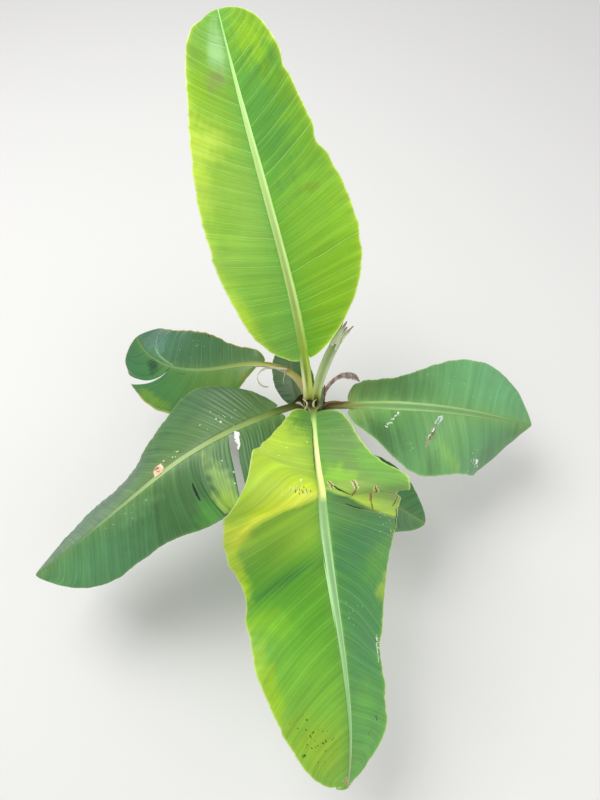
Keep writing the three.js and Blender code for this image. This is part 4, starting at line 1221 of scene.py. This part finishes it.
# Ribbon along a path, widened each way along a fixed direction and bellied by bulge (1 - s^2)
def ribbonOf(seed, path, widths, across, code, bulge=0, thick=0.8, dry=1.0):
    t = np.linspace(0, 1, 40)
    path = along(path, t)
    way = unit(np.array(across, float))
    s = np.linspace(-1, 1, 11)[None, :]
    run = t[:, None] * ribbonSet["run"]
    much, wave = ribbonSet["ragged"]
    ragged = 1 + much * drift(run + 0 * s, s * 4, wave, seed)
    belly = np.cross(way, unit(np.gradient(path, axis=0)))
    grid = path[:, None] + way * (s * (along(widths, t)[:, None] / 2) * ragged)[..., None]
    grid = grid + belly[:, None] * (bulge * (1 - s**2))[..., None]
    much, wave = ribbonSet["shade"]
    shade = 1 + much * drift(run, s * 5, wave, seed + 1)
    return sheetOf(grid, thick, rgb(code) * shade[..., None], s * 5, dry)


for k, (name, ribbons) in enumerate(crownSet.items()):
    surfaces = [ribbonOf(ribbonSet["seed"] + 10 * k + j, *ribbon) for j, ribbon in enumerate(ribbons)]
    objectOf("crown_" + name, surfaces, dryTissue, slot="dry_leaf")

stemSet = dict(
    height=322,
    cadHeight=328,
    radii=[37, 30.5, 28, 26.5, 25, 23.5, 21.5, 19.5],
    bow=3,
    margins=3,
    step=2.2,
    twist=70,
    stepFade=0.6,
    narrow=(280, 0.45),  # from which height, by what share
    dents=(45, 0.7),
    greens="#685438 #7c7042 #84884c #8c9654 #869250 #707840 #3e3c18",
    blotch="#563e2c",
    blotches=((1, 34, 1), (0.5, 9, 0.6)),  # waves: squeeze in height, wave length, share
    edge="#684c32",
    edges=((0.9, 0.035), (0.5, 0.02)),  # tint past a margin and before the next: share, reach
    fibres=(0.004, 5),
    dryness=0.3,
    seed=151,
    flaps=[  # azimuth, half angle, bottom, top, stand-off at top, tint
        (205, 66, 0.9, 168, 5, "#967a58"),
        (75, 58, 0.9, 118, 6, "#8a6c4c"),
        (318, 62, 0.9, 74, 7, "#7e6246"),
        (150, 34, 0.9, 46, 8, "#70563e"),
    ],
    tongue=((0.07, 5), (0.04, 1.6)),  # raggedness of a flap's top: share of its height, wave length
    standOff=(1.3, 0.3, 0.8),  # millimetres, more for each flap, least
    rumples=(0.5, 12),
    flapThick=0.9,
    flapShades=(0.55, 1.35),  # in blotches and at the top
    flapSeed=160,
)


# Points of the stem at an angle and height, and how far round its step they are: its taper and bow, and
# three sheath margins that step down by turns round it and twist upward.
def stemAt(angle, z, grow=0):
    t = z / stemSet["cadHeight"]
    turns = np.mod((angle / degree - stemSet["twist"] * t) * stemSet["margins"] / 360, 1)
    step = stemSet["step"] * (1 - turns) * (1 - stemSet["stepFade"] * t)
    radius = along(stemSet["radii"], t) + step - stemSet["step"] / 2
    start, share = stemSet["narrow"]
    narrow = 1 - share * ease((z - start) / (stemSet["height"] - start))
    wave, deep = stemSet["dents"]
    radius = (radius + deep * drift(angle * 28, z, wave, stemSet["seed"]) * ease(z / 20)) * narrow + grow
    x = radius * np.cos(angle) + stemSet["bow"] * np.sin(np.pi * t)
    return np.stack([x, radius * np.sin(angle), z + 0 * radius], -1), turns


def stemSurface():
    z = np.linspace(0, stemSet["height"], 260)[:, None]
    angle = np.linspace(0, 2 * np.pi, 221)[None, :-1]
    grid, turns = stemAt(angle, z)
    much, wave = stemSet["fibres"]
    grid[..., :2] *= (1 + much * drift(angle * 60, 0 * z, wave, stemSet["seed"] + 1))[..., None]
    tint = along(rgb(stemSet["greens"]), z / stemSet["height"]) + 0 * grid
    blotch = 0
    for k, (squeeze, wave, share) in enumerate(stemSet["blotches"]):
        blotch = blotch + share * drift(angle * 30, z * squeeze, wave, stemSet["seed"] + 2 + k)
    tint = mixTint(tint, rgb(stemSet["blotch"]), ease(blotch * 1.3 - 0.2) * (0.75 - 0.5 * z / stemSet["height"]))
    (past, near), (before, close) = stemSet["edges"]
    tint = mixTint(tint, rgb(stemSet["edge"]), past * np.exp(-turns / near) + before * np.exp(-(1 - turns) / close))
    return *loft(grid), {"tint": tint, "linePlace": angle * 26 + 0 * z, "dryness": stemSet["dryness"] + 0 * turns}


# Dead sheath, a sheet that hugs the stem: its top is the drop of a rounded tongue, 1 - |s|^2.6, made
# ragged by noise, and it stands off more towards it.
def deadSheath(k, azimuth, halfAngle, bottom, top, stand, code):
    v = np.linspace(0, 1, 70)[:, None]
    s = np.linspace(-1, 1, 61)[None, :]
    seed = stemSet["flapSeed"] + k
    tongue = (1 - np.abs(s) ** 2.6) * 0.75 + 0.25
    for j, (much, wave) in enumerate(stemSet["tongue"]):
        tongue = tongue + much * drift(s * 30, 0 * s, wave, seed + 10 * j)
    z = bottom + (top - bottom) * v * np.clip(tongue, 0.1, 1.05)
    angle = (azimuth + halfAngle * s + 10 * v) * degree
    stand = stand * v**3 * (0.6 + 0.4 * drift(s * 30, v * 20, 14, seed + 20))
    least, more, closest = stemSet["standOff"]
    high, wave = stemSet["rumples"]
    grow = least + more * k + stand + high * drift(s * 40, v * 60, wave, seed + 30)
    grid, turns = stemAt(angle, z, np.maximum(grow, closest))
    tint = rgb(code)
    dark, light = stemSet["flapShades"]
    shade = mixTint(tint + 0 * grid, tint * dark, ease(0.5 + 0.8 * drift(s * 40, v * 60, 14, seed + 40)))
    shade = mixTint(shade, tint * light, ease(v * 4 - 3.2) * 0.7 + 0 * s)
    return sheetOf(grid, stemSet["flapThick"], shade, angle * 26)


objectOf("pseudostem_skin", [stemSurface()], sheathFlesh, "pseudostem", slot="stem_sheath")
sheaths = [deadSheath(k, *flap) for k, flap in enumerate(stemSet["flaps"])]
objectOf("dead_sheaths", sheaths, dryTissue, slot="dry_leaf")


# Camera, floor and light

stageSet = dict(
    camera=(-0.02, -0.516, 1.301),
    tilt=28,
    lens=27,
    sensor=36,
    floorHalf=4,
    floorHeight=-0.001,
    floorTone=(0.8, 0.795, 0.78, 1),
    skyStrength=0.57,
    lamps=[("key", (-1.1, 0.6, 2.6), 48, 1.6), ("fill", (1.6, -1.4, 1.8), 17, 2.0)],  # place, watts, size
    aim=[0, 0, 0.35],
)

cameraData = bpy.data.cameras.new("camera")
cameraData.lens = stageSet["lens"]
cameraData.sensor_width = stageSet["sensor"]
camera = linked("camera", cameraData)
camera.location = stageSet["camera"]
camera.rotation_euler = (stageSet["tilt"] * degree, 0, 0)
bpy.context.scene.camera = camera

floorMesh = bpy.data.meshes.new("floor")
reach, level = stageSet["floorHalf"], stageSet["floorHeight"]
corners = [(-reach, -reach, level), (reach, -reach, level), (reach, reach, level), (-reach, reach, level)]
floorMesh.from_pydata(corners, [], [(0, 1, 2, 3)])
floorMesh.materials.append(Paint("floor").finish(Base_Color=stageSet["floorTone"], Roughness=0.9))
floor = linked("floor", floorMesh)

world = bpy.data.worlds.new("sky")
world.use_nodes = True
background = world.node_tree.nodes["Background"]
background.inputs["Color"].default_value = (1, 1, 1, 1)
background.inputs["Strength"].default_value = stageSet["skyStrength"]
bpy.context.scene.world = world
bpy.context.scene.view_settings.view_transform = "Standard"
for name, place, watts, size in stageSet["lamps"]:
    lamp = bpy.data.lights.new(name, "AREA")
    lamp.energy = watts
    lamp.size = size
    made = linked(name, lamp)
    made.location = place
    made.rotation_mode = "QUATERNION"
    made.rotation_quaternion = Vector(-np.array(place) + stageSet["aim"]).to_track_quat("-Z", "Y")
print("stage set")
